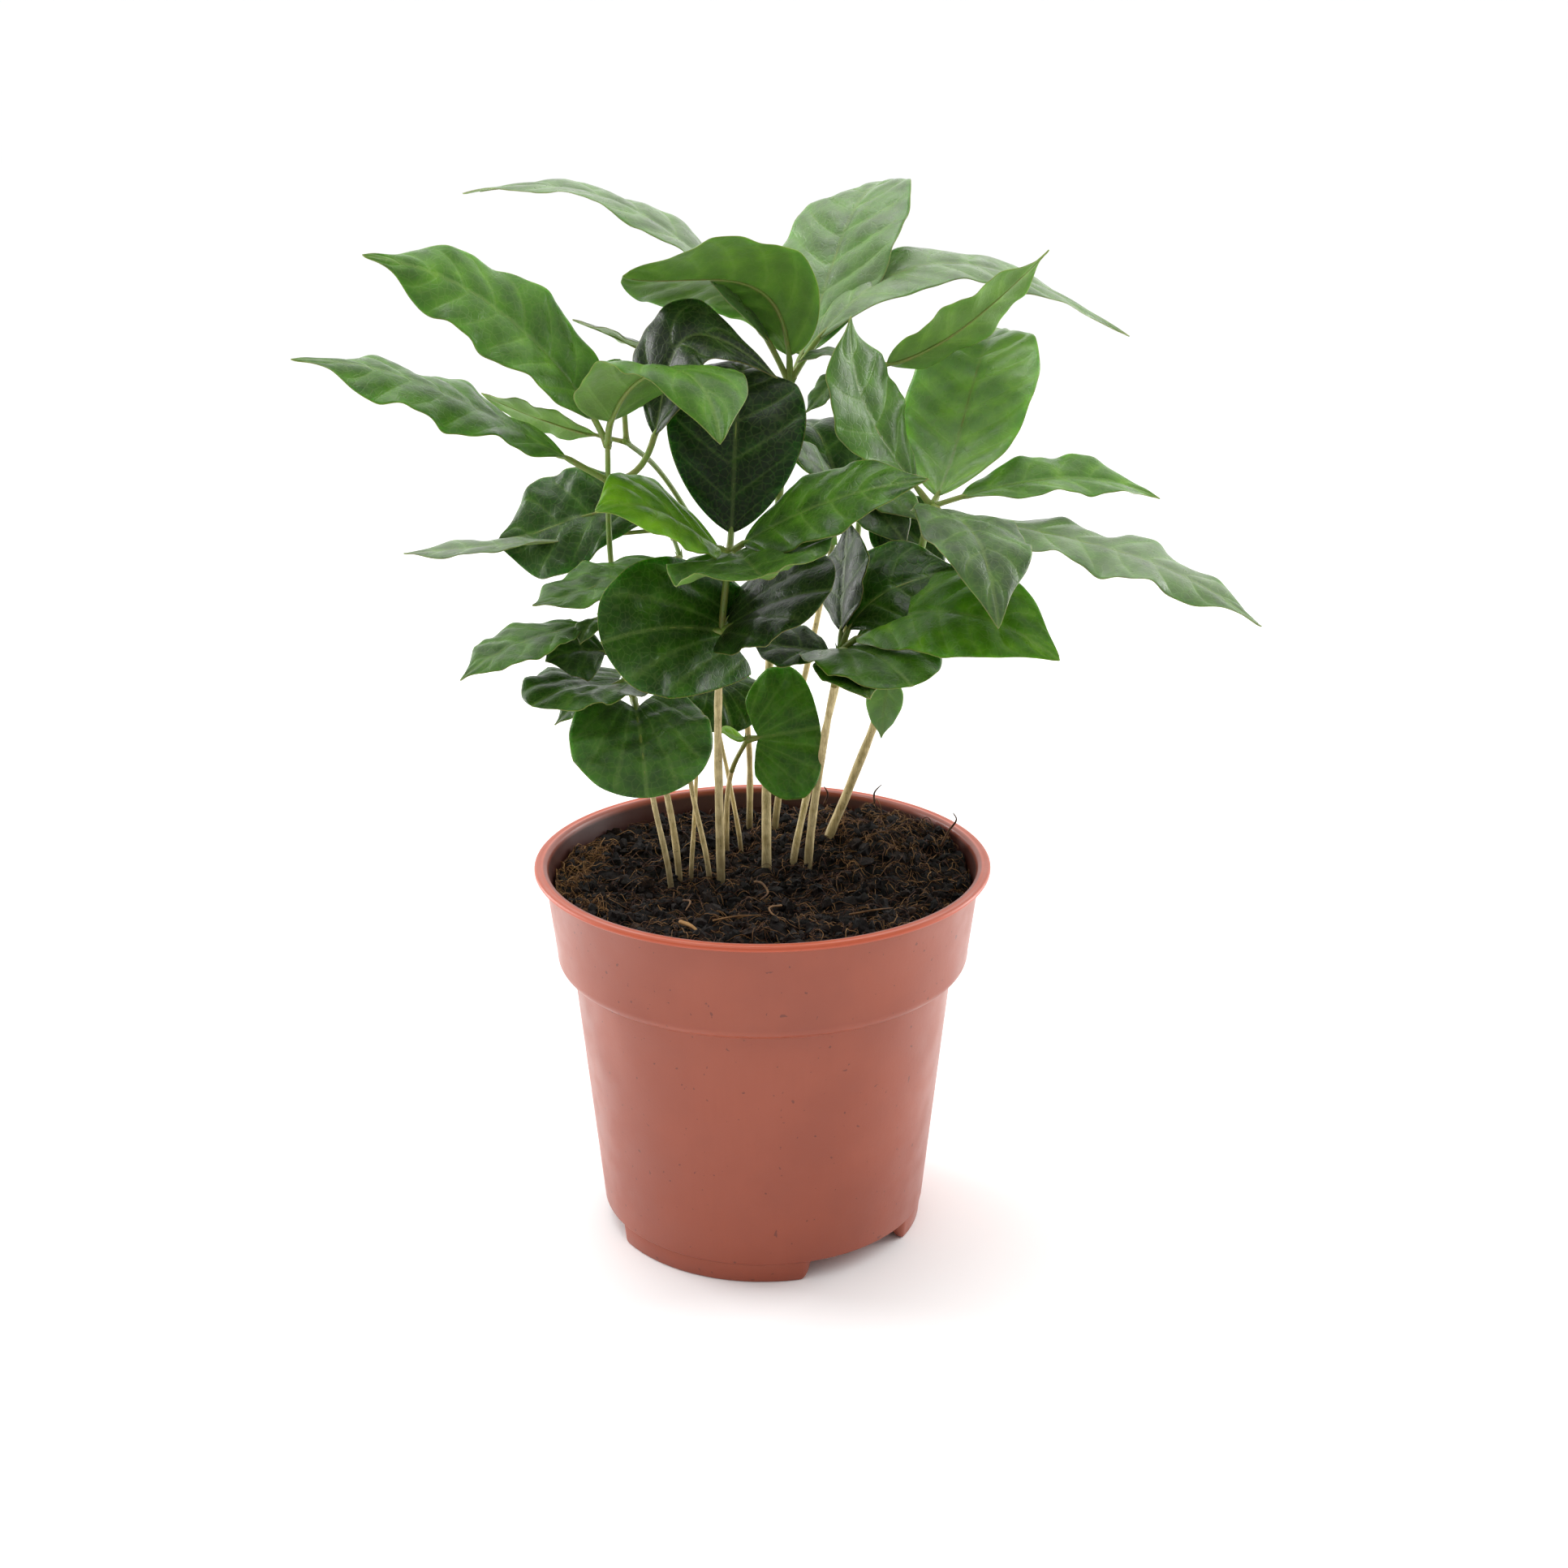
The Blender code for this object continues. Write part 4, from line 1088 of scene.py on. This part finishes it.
        rise = rise + self.quilt * self.width * pillow * np.sin(math.pi * out).clip(0) ** 0.8 * swell**0.4
        rise = rise - 0.35 * np.exp(-((out * half / 1.1) ** 2)) * swell**0.3
        grid = line[:, None] + right[:, None] * (half * reach * np.sign(v))[..., None]
        if self.lobe is not None:
            back = self.lobe * length * np.clip(1 - u / 0.42, 0, 1) ** 1.5
            grid = grid - along[:, None] * (back[:, None] * np.sin(math.pi / 2 * out))[..., None]
        rise = rise + self.crinkle * ripple(grid, 6.0, seed_of(self.name)) * swell
        grid = grid + normal[:, None] * rise[..., None]
        facing = unit(np.cross(np.gradient(grid, axis=1), np.gradient(grid, axis=0)))
        flip = np.sign(np.sum(facing * normal[:, None], axis=(1, 2)).sum())
        shift = facing * flip * (self.thickness / 2 * (1 - 0.6 * out**6))[..., None]
        near = (out * half).repeat(rows if len(half) == 1 else 1, 0)
        pitch = np.full_like(near, span / pairs if self.lobe is None else 5.0)
        veins = np.stack([rib + 0 * near, pitch, near], axis=2)
        blade = np.stack([(1 - out) * half, np.full_like(near, self.tone),
                          np.full_like(near, self.painted_sheen)], axis=2)
        return self.closed(grid + shift, grid - shift, veins, blade)

    @staticmethod
    def closed(top: Array, bottom: Array, veins: Array, blade: Array) -> Skin:
        """Close two sheets of points with a strip round their margin."""
        rows, columns = top.shape[:2]
        sheet = grid_faces(rows, columns)
        index = np.arange(rows * columns).reshape(rows, columns)
        border = np.concatenate([index[0, :-1], index[:-1, -1], index[-1, :0:-1], index[:0:-1, 0]])
        after, under = np.roll(border, -1), rows * columns
        rim = np.concatenate([
            np.stack([after, border, border + under], 1),
            np.stack([after, border + under, after + under], 1),
        ])
        skin = Skin(np.concatenate([top.reshape(-1, 3), bottom.reshape(-1, 3)]),
                    np.concatenate([sheet, sheet[:, ::-1] + under, rim]))
        skin.values["veins"] = np.concatenate([veins.reshape(-1, 3)] * 2)
        skin.values["blade"] = np.concatenate([blade.reshape(-1, 3)] * 2)
        skin.values["under"] = np.repeat([0.0, 1.0], under)
        return facing_out(skin)

    def stalk(self, root: Array) -> Skin:
        """The round stalk, which goes on as a ridge under the midrib and thins to the tip."""
        length = float(np.linalg.norm(np.array(self.tip, float) - root))
        share = self.petiole / length
        s = np.linspace(0, 0.96, max(12, int(length / 1.6)))
        line, _, _, normal = self.axes(root, s)
        u = np.clip((s - share) / (1 - share), 0, 1)
        thick = min(0.85, 0.35 + self.width * 0.018)
        radius = np.where(u > 0, thick * (0.14 + 0.62 * (1 - u) ** 1.3), thick)
        radius = radius * (1 + 0.35 * np.exp(-s * length / 1.2))
        sunk = (0.32 + 0.62 * radius) * ease(u / 0.04)
        skin = tube(line - normal * sunk[:, None], radius, 8)
        skin.values["tone"] = np.full(len(skin.points), 0.3)
        return skin


def seed_of(text: str) -> int:
    """A seed from a name that is the same on every run."""
    return sum((i + 1) * ord(letter) for i, letter in enumerate(text))


@dataclass
class Seedling:
    """One young plant: a tan stem up to its split, a green one above, and its leaves.

    Attributes:
        number: As in the CAD nodes' names.
        path: The stem's points from the soil to its top.
        radius: The stem's radius at the soil.
        split: Height where the tan stem ends.
        leaves: Its leaves.
        brown: Tone of the tan stem, from 0 for straw to 1 for brown.
    """

    number: int
    path: Sequence[Point]
    radius: float
    split: Optional[float] = None
    leaves: Sequence[Leaf] = ()
    brown: float = 0.35
    root_depth: float = 15.0
    bud: float = 2.0

    def line(self, spacing: float, start: Optional[float] = None,
             end: Optional[float] = None) -> Array:
        """The stem's line, which comes straight up out of the soil."""
        base = np.array(self.path[0], float)
        return smooth_path([tuple(base - (0, 0, self.root_depth)), *self.path], spacing, start, end)

    def radii(self, line: Array) -> Array:
        """A stem thins from 1.2 to 0.8 of its radius, and swells where leaves leave it."""
        low, high = self.path[0][2] - self.root_depth, self.path[-1][2]
        radius = self.radius * (1.2 - 0.4 * (line[:, 2] - low) / (high - low))
        joints = [leaf.node[2] for leaf in self.leaves]
        for height in joints:
            radius = radius + 0.16 / len(joints) * np.exp(-(((line[:, 2] - height) / 1.6) ** 2))
        knots = ripple(line[:, 2:] + 37.0 * self.number, 13.0, self.number, 5)
        return radius * (1 + 0.06 * knots)

    def root_of(self, leaf: Leaf) -> Array:
        """The stem's nearest point to where a leaf joins it."""
        line = self.line(1.0)
        return line[np.argmin(np.linalg.norm(line - np.array(leaf.node, float), axis=1))]

    def tan_part(self) -> Skin:
        """The tan stem, which runs on 1 mm into the green one."""
        line = self.line(1.0, end=None if self.split is None else self.split + 1.0)
        skin = tube(line, self.radii(line), 14)
        skin.values["tone"] = np.full(len(skin.points), self.brown)
        return skin

    def green_part(self) -> Skin:
        """The green stem, with its bud as a small cone."""
        line = self.line(1.0, start=self.split)
        radii = self.radii(line) + 0.02
        way = unit(line[-1] - line[-2])
        line = np.concatenate([line, line[-1] + way * self.bud * np.array([[0.35], [0.7], [1.0]])])
        radii = np.concatenate([radii, radii[-1] * np.array([0.95, 0.7, 0.25])])
        skin = tube(line, radii, 14)
        heights = skin.points[:, 2]
        start = self.split or 0.0
        skin.values["tone"] = 0.75 - 0.6 * ease((heights - start) / 25.0)
        return skin

    def stipules(self) -> list[Skin]:
        """Two small pointed scales at each joint: tapered tubes that lean on the stem."""
        skins = []
        line = self.line(1.0)
        for height in sorted({round(leaf.node[2] / 4) * 4 for leaf in self.leaves}):
            k = int(np.clip(np.searchsorted(line[:, 2], height), 1, len(line) - 2))
            way = unit(line[k + 1] - line[k - 1])
            side = unit(np.cross(way, (0.3, 1.0, 0.0)))
            for sign in (-1.0, 1.0):
                t = np.linspace(0, 1, 6)[:, None]
                path = line[k] + side * sign * (self.radius * (0.75 + 0.9 * t**1.5)) + way * (2.4 * t + 0.3)
                scale = tube(path, 0.42 * (1 - 0.85 * t[:, 0]), 6)
                scale.values["tone"] = np.full(len(scale.points), 0.1)
                skins.append(scale)
        return skins

    def build(self, frame: PotFrame, tan: bpy.types.Material, green: bpy.types.Material,
              cuticle: bpy.types.Material) -> None:
        """Make the tan stem and the green shoot in place of their CAD nodes."""
        name = f"seedling_{self.number:02d}"
        frame.piece(name + "_tan_stem", facing_out(self.tan_part()), [tan], [name + "_stem"])
        if not self.leaves:
            return
        skins = [facing_out(self.green_part()).with_finish(1)]
        skins += [scale.with_finish(1) for scale in self.stipules()]
        for leaf in self.leaves:
            root = self.root_of(leaf)
            skins.append(leaf.blade(root).with_finish(0))
            skins.append(facing_out(leaf.stalk(root)).with_finish(1))
        frame.piece(name + "_green_shoot", Skin.joined(skins), [cuticle, green],
                    [name + "_shoot"])


SEEDLINGS: tuple[Seedling, ...] = (
    Seedling(1, [(-22, -1, 96), (-25, 0, 120), (-36, 8, 153), (-39, 12, 180), (-38, -2, 212)],
             0.8, 160, (
        Leaf("1a", (-39, -3, 213), (-93, -18, 260), 29, (7, 6), droop=6, roll=42, fold=26,
             fold_tip=-16, wave=1.6, waves=3.2, petiole=7, peak=0.4, full=0.62, drip=0.65,
             tone=0.55, painted_sheen=0.15),
        Leaf("1b", (-38, -3, 199), (-111, -20, 236), 32, (4, 6), roll=14, fold=8, fold_tip=-12,
             wave=1.6, waves=3.2, petiole=12, tone=0.5, painted_sheen=0.15),
        Leaf("1c", (-37, -5, 213), (-9, -42, 220), 38, (14, 14), (0, -4), 4, 0, 10, wave=1.2,
             petiole=5, peak=0.42, full=0.65, tone=0.5, painted_sheen=0.1),
        Leaf("1d", (-38, -2, 199), (4, 8, 227), 28, (3, 16), droop=8, roll=-32, fold=14, wave=1,
             petiole=15, tone=0.06, painted_sheen=0.05),
    )),
    Seedling(2, [(-4, 37, 96), (-4, 36, 121), (-13, 34, 172), (-28, 20, 203), (-34, 8, 211)],
             0.8, 165, (
        Leaf("2a", (-35, 6, 213), (-71, 16, 222), 14, (-1, -1), roll=-42, fold=6, wave=0.6,
             petiole=8, tone=0.6, painted_sheen=0.1),
        Leaf("2b", (-35, 6, 213), (-36, 19, 230), 22, (1, 2), roll=-20, petiole=8, full=0.6, tone=0.6, painted_sheen=0.1),
    )),
    Seedling(3, [(1, 5, 96), (1, 10, 120), (3, 22, 175), (7, 30, 222)], 1.15, 168, (
        Leaf("3a", (7, 30, 223), (-77, 42, 269), 27, (14, 13), droop=8, roll=2, fold=8, fold_tip=6,
             wave=1, petiole=10, peak=0.42, full=0.65, tone=0.5, painted_sheen=0.6),
        Leaf("3b", (7, 28, 223), (-34, 8, 252), 37, (16, 10), roll=-40, fold=16, fold_tip=14,
             curl=-12, bend=(-22, 0), wave=1.2, petiole=4, peak=0.52, full=0.5, drip=0.35,
             tone=0.66, painted_sheen=0.0),
        Leaf("3c", (8, 31, 223), (37, 86, 268), 39, (4, 8), droop=8, roll=11, wave=1, petiole=9,
             peak=0.42, full=0.68, tone=0.5, painted_sheen=0.55),
        Leaf("3d", (8, 29, 223), (99, 60, 230), 26, (25, 20), roll=-14, fold=6, fold_tip=2, wave=1,
             petiole=9, peak=0.42, drip=0.7, tone=0.5, painted_sheen=0.7),
        Leaf("3e", (7, 28, 222), (-49, 34, 238), 22, (-4, -2), roll=-14, wave=0.5, petiole=28,
             tone=0.3, painted_sheen=0.3),
    )),
    Seedling(4, [(8, 9, 96), (11, 14, 111), (20, 26, 143), (26, 33, 190), (28, 25, 227)], 0.85, 150, (
        Leaf("4a", (28, 25, 227), (72, 21, 257), 20, (-4, -3), roll=40, wave=1, petiole=4, peak=0.4,
             full=0.75, drip=0.8, tone=0.62, painted_sheen=0.2),
        Leaf("4b", (28, 25, 227), (11, 16, 217), 11, (3, 2), roll=5, wave=0.4, petiole=4, tone=0.4,
             painted_sheen=0.3),
        Leaf("4c", (28, 25, 227), (9, 21, 229), 12, (3, 3), wave=0.3, petiole=4, tone=0.3, painted_sheen=0.4),
    )),
    Seedling(5, [(17, 21, 96), (23, 20, 114), (30, 16, 135), (43, 6, 195)], 1.15, 140, (
        Leaf("5a", (44, 7, 196), (66, 62, 231), 35, (3, 8), (1, 1), droop=5, roll=2, wave=1,
             petiole=4, peak=0.46, full=0.75, drip=0.8, tone=0.72, painted_sheen=0.5),
        Leaf("5b", (44, 7, 196), (22, 3, 243), 28, (-4, -5), roll=45, wave=1, petiole=6, peak=0.55,
             tone=0.5, painted_sheen=0.25),
        Leaf("5c", (44, 6, 196), (103, 20, 194), 20, (5, 6), roll=-18, fold=16, fold_tip=12, wave=1,
             petiole=8, peak=0.5, full=0.65, drip=0.8, tone=0.6, painted_sheen=0.2),
        Leaf("5d", (44, 4, 195), (56, -45, 177), 29, (8, 11), roll=12, wave=1.2, petiole=5,
             full=0.7, tone=0.35, painted_sheen=0.3, crinkle=0.25),
        Leaf("5e", (44, 4, 193), (122, -25, 172), 28, (3, 4), droop=4, roll=-5, fold=4, fold_tip=0,
             wave=1.6, waves=3.5, petiole=10, peak=0.5, full=0.7, tone=0.45, painted_sheen=0.7),
        Leaf("5f", (35, 13, 149), (31, 4, 134), 10, (2, 2), wave=0.2, petiole=3, peak=0.36,
             tone=0.6, painted_sheen=1.0),
    )),
    Seedling(6, [(-11, -2, 96), (-11, -6, 150), (-10, -8, 167), (-8, -7, 186)], 1.05, 158, (
        Leaf("6a", (-8, -6, 186), (-3, 26, 228), 35, (4, 9), droop=6, roll=-10, wave=0.8,
             petiole=5, peak=0.52, full=0.62, tone=0.0, painted_sheen=0.05),
        Leaf("6b", (-7, -8, 187), (40, -28, 209), 28, (3, 3), roll=-31, fold=8, fold_tip=4,
             petiole=5, peak=0.42, tone=0.42, painted_sheen=0.05),
        Leaf("6c", (-9, -8, 186), (-39, -32, 202), 32, (3, 5), roll=26, wave=0.6, petiole=4,
             peak=0.45, full=0.7, tone=0.76, painted_sheen=0.05),
        Leaf("6d", (-8, -9, 185), (4, -43, 190), 43, (2, 0), droop=-3, roll=-9, fold_tip=20,
             wave=1.8, petiole=4, peak=0.5, full=0.6, tone=0.45, painted_sheen=0.1),
        Leaf("6e", (-10, -9, 166), (-38, -36, 171), 35, (2, 2), roll=72, petiole=2, lobe=0.3,
             tone=0.25, painted_sheen=0.0, crinkle=0.2),
        Leaf("6f", (-10, -9, 166), (17, -28, 182), 33, (2, 2), roll=-36, fold=14, petiole=3,
             lobe=0.05, tone=0.1, painted_sheen=0.05),
    )),
    Seedling(7, [(-14, -1, 96), (-19, 4, 123), (-21, 10, 156), (-21, 11, 180), (-24, 20, 186)],
             0.65, 150, (
        Leaf("7a", (-24, 20, 186), (-70, 28, 181), 31, (6, 3), roll=50, wave=1, petiole=4, peak=0.6,
             full=0.55, tone=0.25, painted_sheen=0.08, crinkle=0.5),
        Leaf("7b", (-24, 22, 185), (-94, 22, 179), 13, roll=6, wave=0.5, petiole=20, peak=0.72,
             tone=0.4, painted_sheen=0.6),
        Leaf("7c", (-21, 10, 181), (-56, -20, 176), 24, (1, 0), roll=2, wave=1, petiole=5, full=0.6,
             tone=0.5, painted_sheen=0.1, crinkle=0.4),
    )),
    Seedling(8, [(-24, -6, 96), (-28, -8, 121), (-31, -11, 145), (-34, -9, 153),
                 (-37, -7, 160), (-40, -6, 169)], 0.7, 142, (
        Leaf("8a", (-40, -6, 169), (-74, -24, 158), 24, (2, 3), roll=3, fold=8, fold_tip=4,
             wave=0.6, petiole=5, tone=0.45, painted_sheen=0.1, crinkle=0.25),
        Leaf("8b", (-34, -9, 154), (-56, -29, 153), 28, (1, 2), roll=4, petiole=3, lobe=0.2,
             tone=0.3, painted_sheen=0.05, crinkle=0.35),
        Leaf("8c", (-32, -10, 149), (-28, -34, 131), 36, (3, 3), petiole=4, lobe=0.2, tone=0.35,
             painted_sheen=0.12, crinkle=0.6),
        Leaf("8d", (-40, -7, 169), (-45, -16, 165), 7, (2, 2), wave=0.2, petiole=3, tone=0.3, painted_sheen=0.2),
        Leaf("8e", (-34, -8, 152), (-52, -16, 144), 9, (2, 2), roll=10, wave=0.3, petiole=5, tone=0.3, painted_sheen=0.1),
        Leaf("8f", (-37, -7, 160), (-54, -14, 160), 22, (2, 2), roll=28, wave=0.5,
             petiole=3, tone=0.2, painted_sheen=0.1),
    )),
    Seedling(9, [(-10, 16, 96), (-8, 12, 123), (-4, 6, 133)], 0.75, 122, (
        Leaf("9a", (-4, 5, 134), (15, 4, 137), 36, (0, 0), roll=-62, petiole=3, lobe=0.1, full=2.5,
             tone=0.42, painted_sheen=0.05, crinkle=0.35),
        Leaf("9b", (-4, 6, 134), (-11, 2, 137), 7, roll=20, wave=0, petiole=1, tone=0.8, painted_sheen=0.1),
    )),
    Seedling(10, [(-6, 19, 96), (-9, 20, 116), (-13, 24, 136), (-14, 26, 144)], 0.6, 136, (
        Leaf("10a", (-14, 26, 144), (-8, 15, 132), 25, (2, 2), petiole=2, lobe=0.2, tone=0.2, painted_sheen=0.0, crinkle=0.3),
    )),
    Seedling(11, [(12, 5, 96), (16, 0, 134), (20, -4, 160)], 1.05, 150, (
        Leaf("11a", (21, -4, 160), (72, -34, 166), 34, (10, 10), roll=-25, wave=0.6,
             petiole=5, full=0.65, tone=0.6, painted_sheen=0.0),
        Leaf("11b", (21, -5, 160), (36, -42, 162), 31, (3, 3), roll=-6, petiole=3, lobe=0.2, tone=0.4, painted_sheen=0.0),
        Leaf("11c", (20, -5, 160), (26, -46, 160), 20, (1, 1), roll=-10, fold=20, fold_tip=12,
             wave=0.5, petiole=3, peak=0.42, tone=0.32, painted_sheen=0.0),
        Leaf("11d", (20, -3, 160), (50, -4, 181), 30, (6, 5), roll=-35, wave=0.6, petiole=5, tone=0.25, painted_sheen=0.0, crinkle=0.3),
        Leaf("11e", (20, -3, 160), (22, 8, 191), 24, (2, 2), roll=53, wave=0.6, petiole=5,
             tone=0.08, painted_sheen=0.0),
        Leaf("11f", (20, -3, 159), (-3, 2, 161), 18, roll=20, wave=0.4, petiole=3, tone=0.1, painted_sheen=0.05),
    )),
    Seedling(12, [(3, 35, 96), (4, 35, 106), (13, 34, 150), (21, 28, 193)], 0.85, 165, (
        Leaf("12a", (21, 28, 193), (8, 54, 207), 26, (5, 7), wave=0.5, petiole=3, full=0.6, tone=0.22, painted_sheen=0.0),
        Leaf("12b", (21, 27, 194), (37, 8, 184), 14, (3, 3), roll=-20, wave=0.3, petiole=3, tone=0.2, painted_sheen=0.2),
        Leaf("12c", (21, 27, 194), (47, 14, 176), 24, (3, 3), roll=-30, wave=0.5,
             petiole=8, tone=0.15, painted_sheen=0.05),
        Leaf("12d", (21, 27, 194), (41, 12, 190), 12, (3, 3), roll=-20, wave=0.3, petiole=5, tone=0.4, painted_sheen=0.3),
        Leaf("12e", (21, 27, 194), (7, 10, 208), 14, (2, 2), roll=50, wave=0.3, petiole=3, tone=0.3, painted_sheen=0.3),
    )),
    Seedling(13, [(-19, 1, 96), (-18, 4, 112), (-17, 8, 132)], 0.6),
    Seedling(14, [(-12, 41, 96), (-12, 40, 118), (-13, 38, 134)], 0.5),
)


# ---- studio


@dataclass
class Studio:
    """The white floor, soft lights and the camera at the photograph's angle.

    Attributes:
        aim: The point the camera looks at, in mm about the pot's axis.
        distance: From the camera to that point, in mm.
        elevation: Of the camera, in degrees.
        lens: Focal length on a 36 mm frame.
    """

    aim: Point = (5.65, 0.0, 122.75)
    distance: float = 600.0
    elevation: float = 19.15
    lens: float = 52.8
    even_light: float = 0.2
    top_light: float = 0.85
    back_light: float = 1.1

    def floor(self, frame: PotFrame, finish: bpy.types.Material) -> None:
        """A round board, wide enough to fill the picture behind the pot."""
        rings = np.array([0.25, 2.0, 10.0, 60.0]) * 1000
        angle = np.arange(64) * 2 * math.pi / 64
        circle = np.stack([np.cos(angle), np.sin(angle), 0 * angle], 1)
        grid = circle[None] * rings[:, None, None]
        skin = Skin(np.concatenate([grid.reshape(-1, 3), [(0, 0, 0)]]), grid_faces(4, 64, wrap=True))
        fan = np.stack([np.full(64, 256), np.arange(64), (np.arange(64) + 1) % 64], 1)
        skin.faces = np.concatenate([skin.faces[:, ::-1], fan])
        mesh = bpy.data.meshes.new("studio_floor")
        mesh.from_pydata(frame.metres(skin.points).tolist(), [], skin.faces.tolist())
        mesh.materials.append(finish)
        board = bpy.data.objects.new("studio_floor", mesh)
        bpy.context.scene.collection.objects.link(board)

    def lamp(self, frame: PotFrame, name: str, place: Point, size: float, power: float) -> None:
        """A square soft light that faces the plant.

        Args:
            frame: Where the pot is.
            name: The light's name.
            place: Its middle, in mm about the pot's axis.
            size: Its side, in mm.
            power: Its power in watts.
        """
        data = bpy.data.lights.new(name, "AREA")
        data.size, data.energy = size * MM, power
        lamp = bpy.data.objects.new(name, data)
        lamp.location = frame.metres(np.array(place))
        lamp.rotation_euler = look_angles(np.array(place, float), np.array((0, 0, 120.0)))
        bpy.context.scene.collection.objects.link(lamp)

    def lights(self, frame: PotFrame) -> None:
        """A white surround, brightest above and behind, with a soft light there and at each side.

        Its strength is even_light + top_light * max(0, z) + back_light * max(0, y).
        """
        world = bpy.data.worlds.new("white_studio")
        bpy.context.scene.world = world
        world.use_nodes = True
        tree = world.node_tree
        back = tree.nodes["Background"]
        back.inputs[0].default_value = (1, 1, 1, 1)
        way = tree.nodes.new("ShaderNodeSeparateXYZ")
        tree.links.new(tree.nodes.new("ShaderNodeTexCoord").outputs["Generated"], way.inputs[0])
        total: Any = self.even_light
        for axis, weight in ((2, self.top_light), (1, self.back_light)):
            share = tree.nodes.new("ShaderNodeMath")
            share.operation = "MULTIPLY_ADD"
            share.inputs[1].default_value = weight
            positive = tree.nodes.new("ShaderNodeMath")
            positive.operation = "MAXIMUM"
            positive.inputs[1].default_value = 0.0
            tree.links.new(way.outputs[axis], positive.inputs[0])
            tree.links.new(positive.outputs[0], share.inputs[0])
            if isinstance(total, float):
                share.inputs[2].default_value = total
            else:
                tree.links.new(total, share.inputs[2])
            total = share.outputs[0]
        tree.links.new(total, back.inputs[1])
        self.lamp(frame, "overhead_softbox", (-250, 150, 1200), 700, 6)
        self.lamp(frame, "left_back_softbox", (-900, 420, 300), 600, 7)
        self.lamp(frame, "right_back_softbox", (900, 420, 300), 600, 7)

    def camera(self, frame: PotFrame) -> None:
        """The camera, level and square to the pot's axis."""
        tilt = math.radians(self.elevation)
        away = np.array((0, -math.cos(tilt), math.sin(tilt))) * self.distance
        place = np.array(self.aim) + away
        data = bpy.data.cameras.new("photo_camera")
        data.lens, data.sensor_width, data.sensor_fit = self.lens, 36.0, "HORIZONTAL"
        data.clip_start, data.clip_end = 0.01, 100.0
        camera = bpy.data.objects.new("photo_camera", data)
        camera.location = frame.metres(place)
        camera.rotation_euler = look_angles(place, np.array(self.aim))
        bpy.context.scene.collection.objects.link(camera)
        bpy.context.scene.camera = camera

    def build(self, frame: PotFrame) -> None:
        """Make the floor, the lights and the camera."""
        self.floor(frame, StudioFloor().material())
        self.lights(frame)
        self.camera(frame)
        bpy.context.scene.view_settings.view_transform = "Standard"


def look_angles(place: Array, target: Array) -> tuple[float, float, float]:
    """Euler angles that point an object's -Z from a place to a target, with Y up."""
    way = unit(target - place)
    return (math.acos(-way[2]), 0.0, math.atan2(-way[0], way[1]))


def main() -> None:
    """Build the pot, the soil and each seedling over the frame, then the studio."""
    logging.basicConfig(level=logging.INFO, format="%(message)s")
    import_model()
    frame = PotFrame.found()
    NurseryPot().build(frame, PotPlastic().material())
    Soil().build(frame, SoilCrumb().material(), RootFibre().material())
    tan = StemSkin("young_coffee_bark", "#EBD6A0", "#8A7340", "#3B2A1A").material()
    green = StemSkin("green_coffee_stalk", "#6E8C36", "#8A7A44", "#3E4A22", 0.42).material()
    cuticle = LeafSkin().material()
    for seedling in SEEDLINGS:
        seedling.build(frame, tan, green, cuticle)
    Studio().build(frame)


if __name__ == "__main__":
    main()
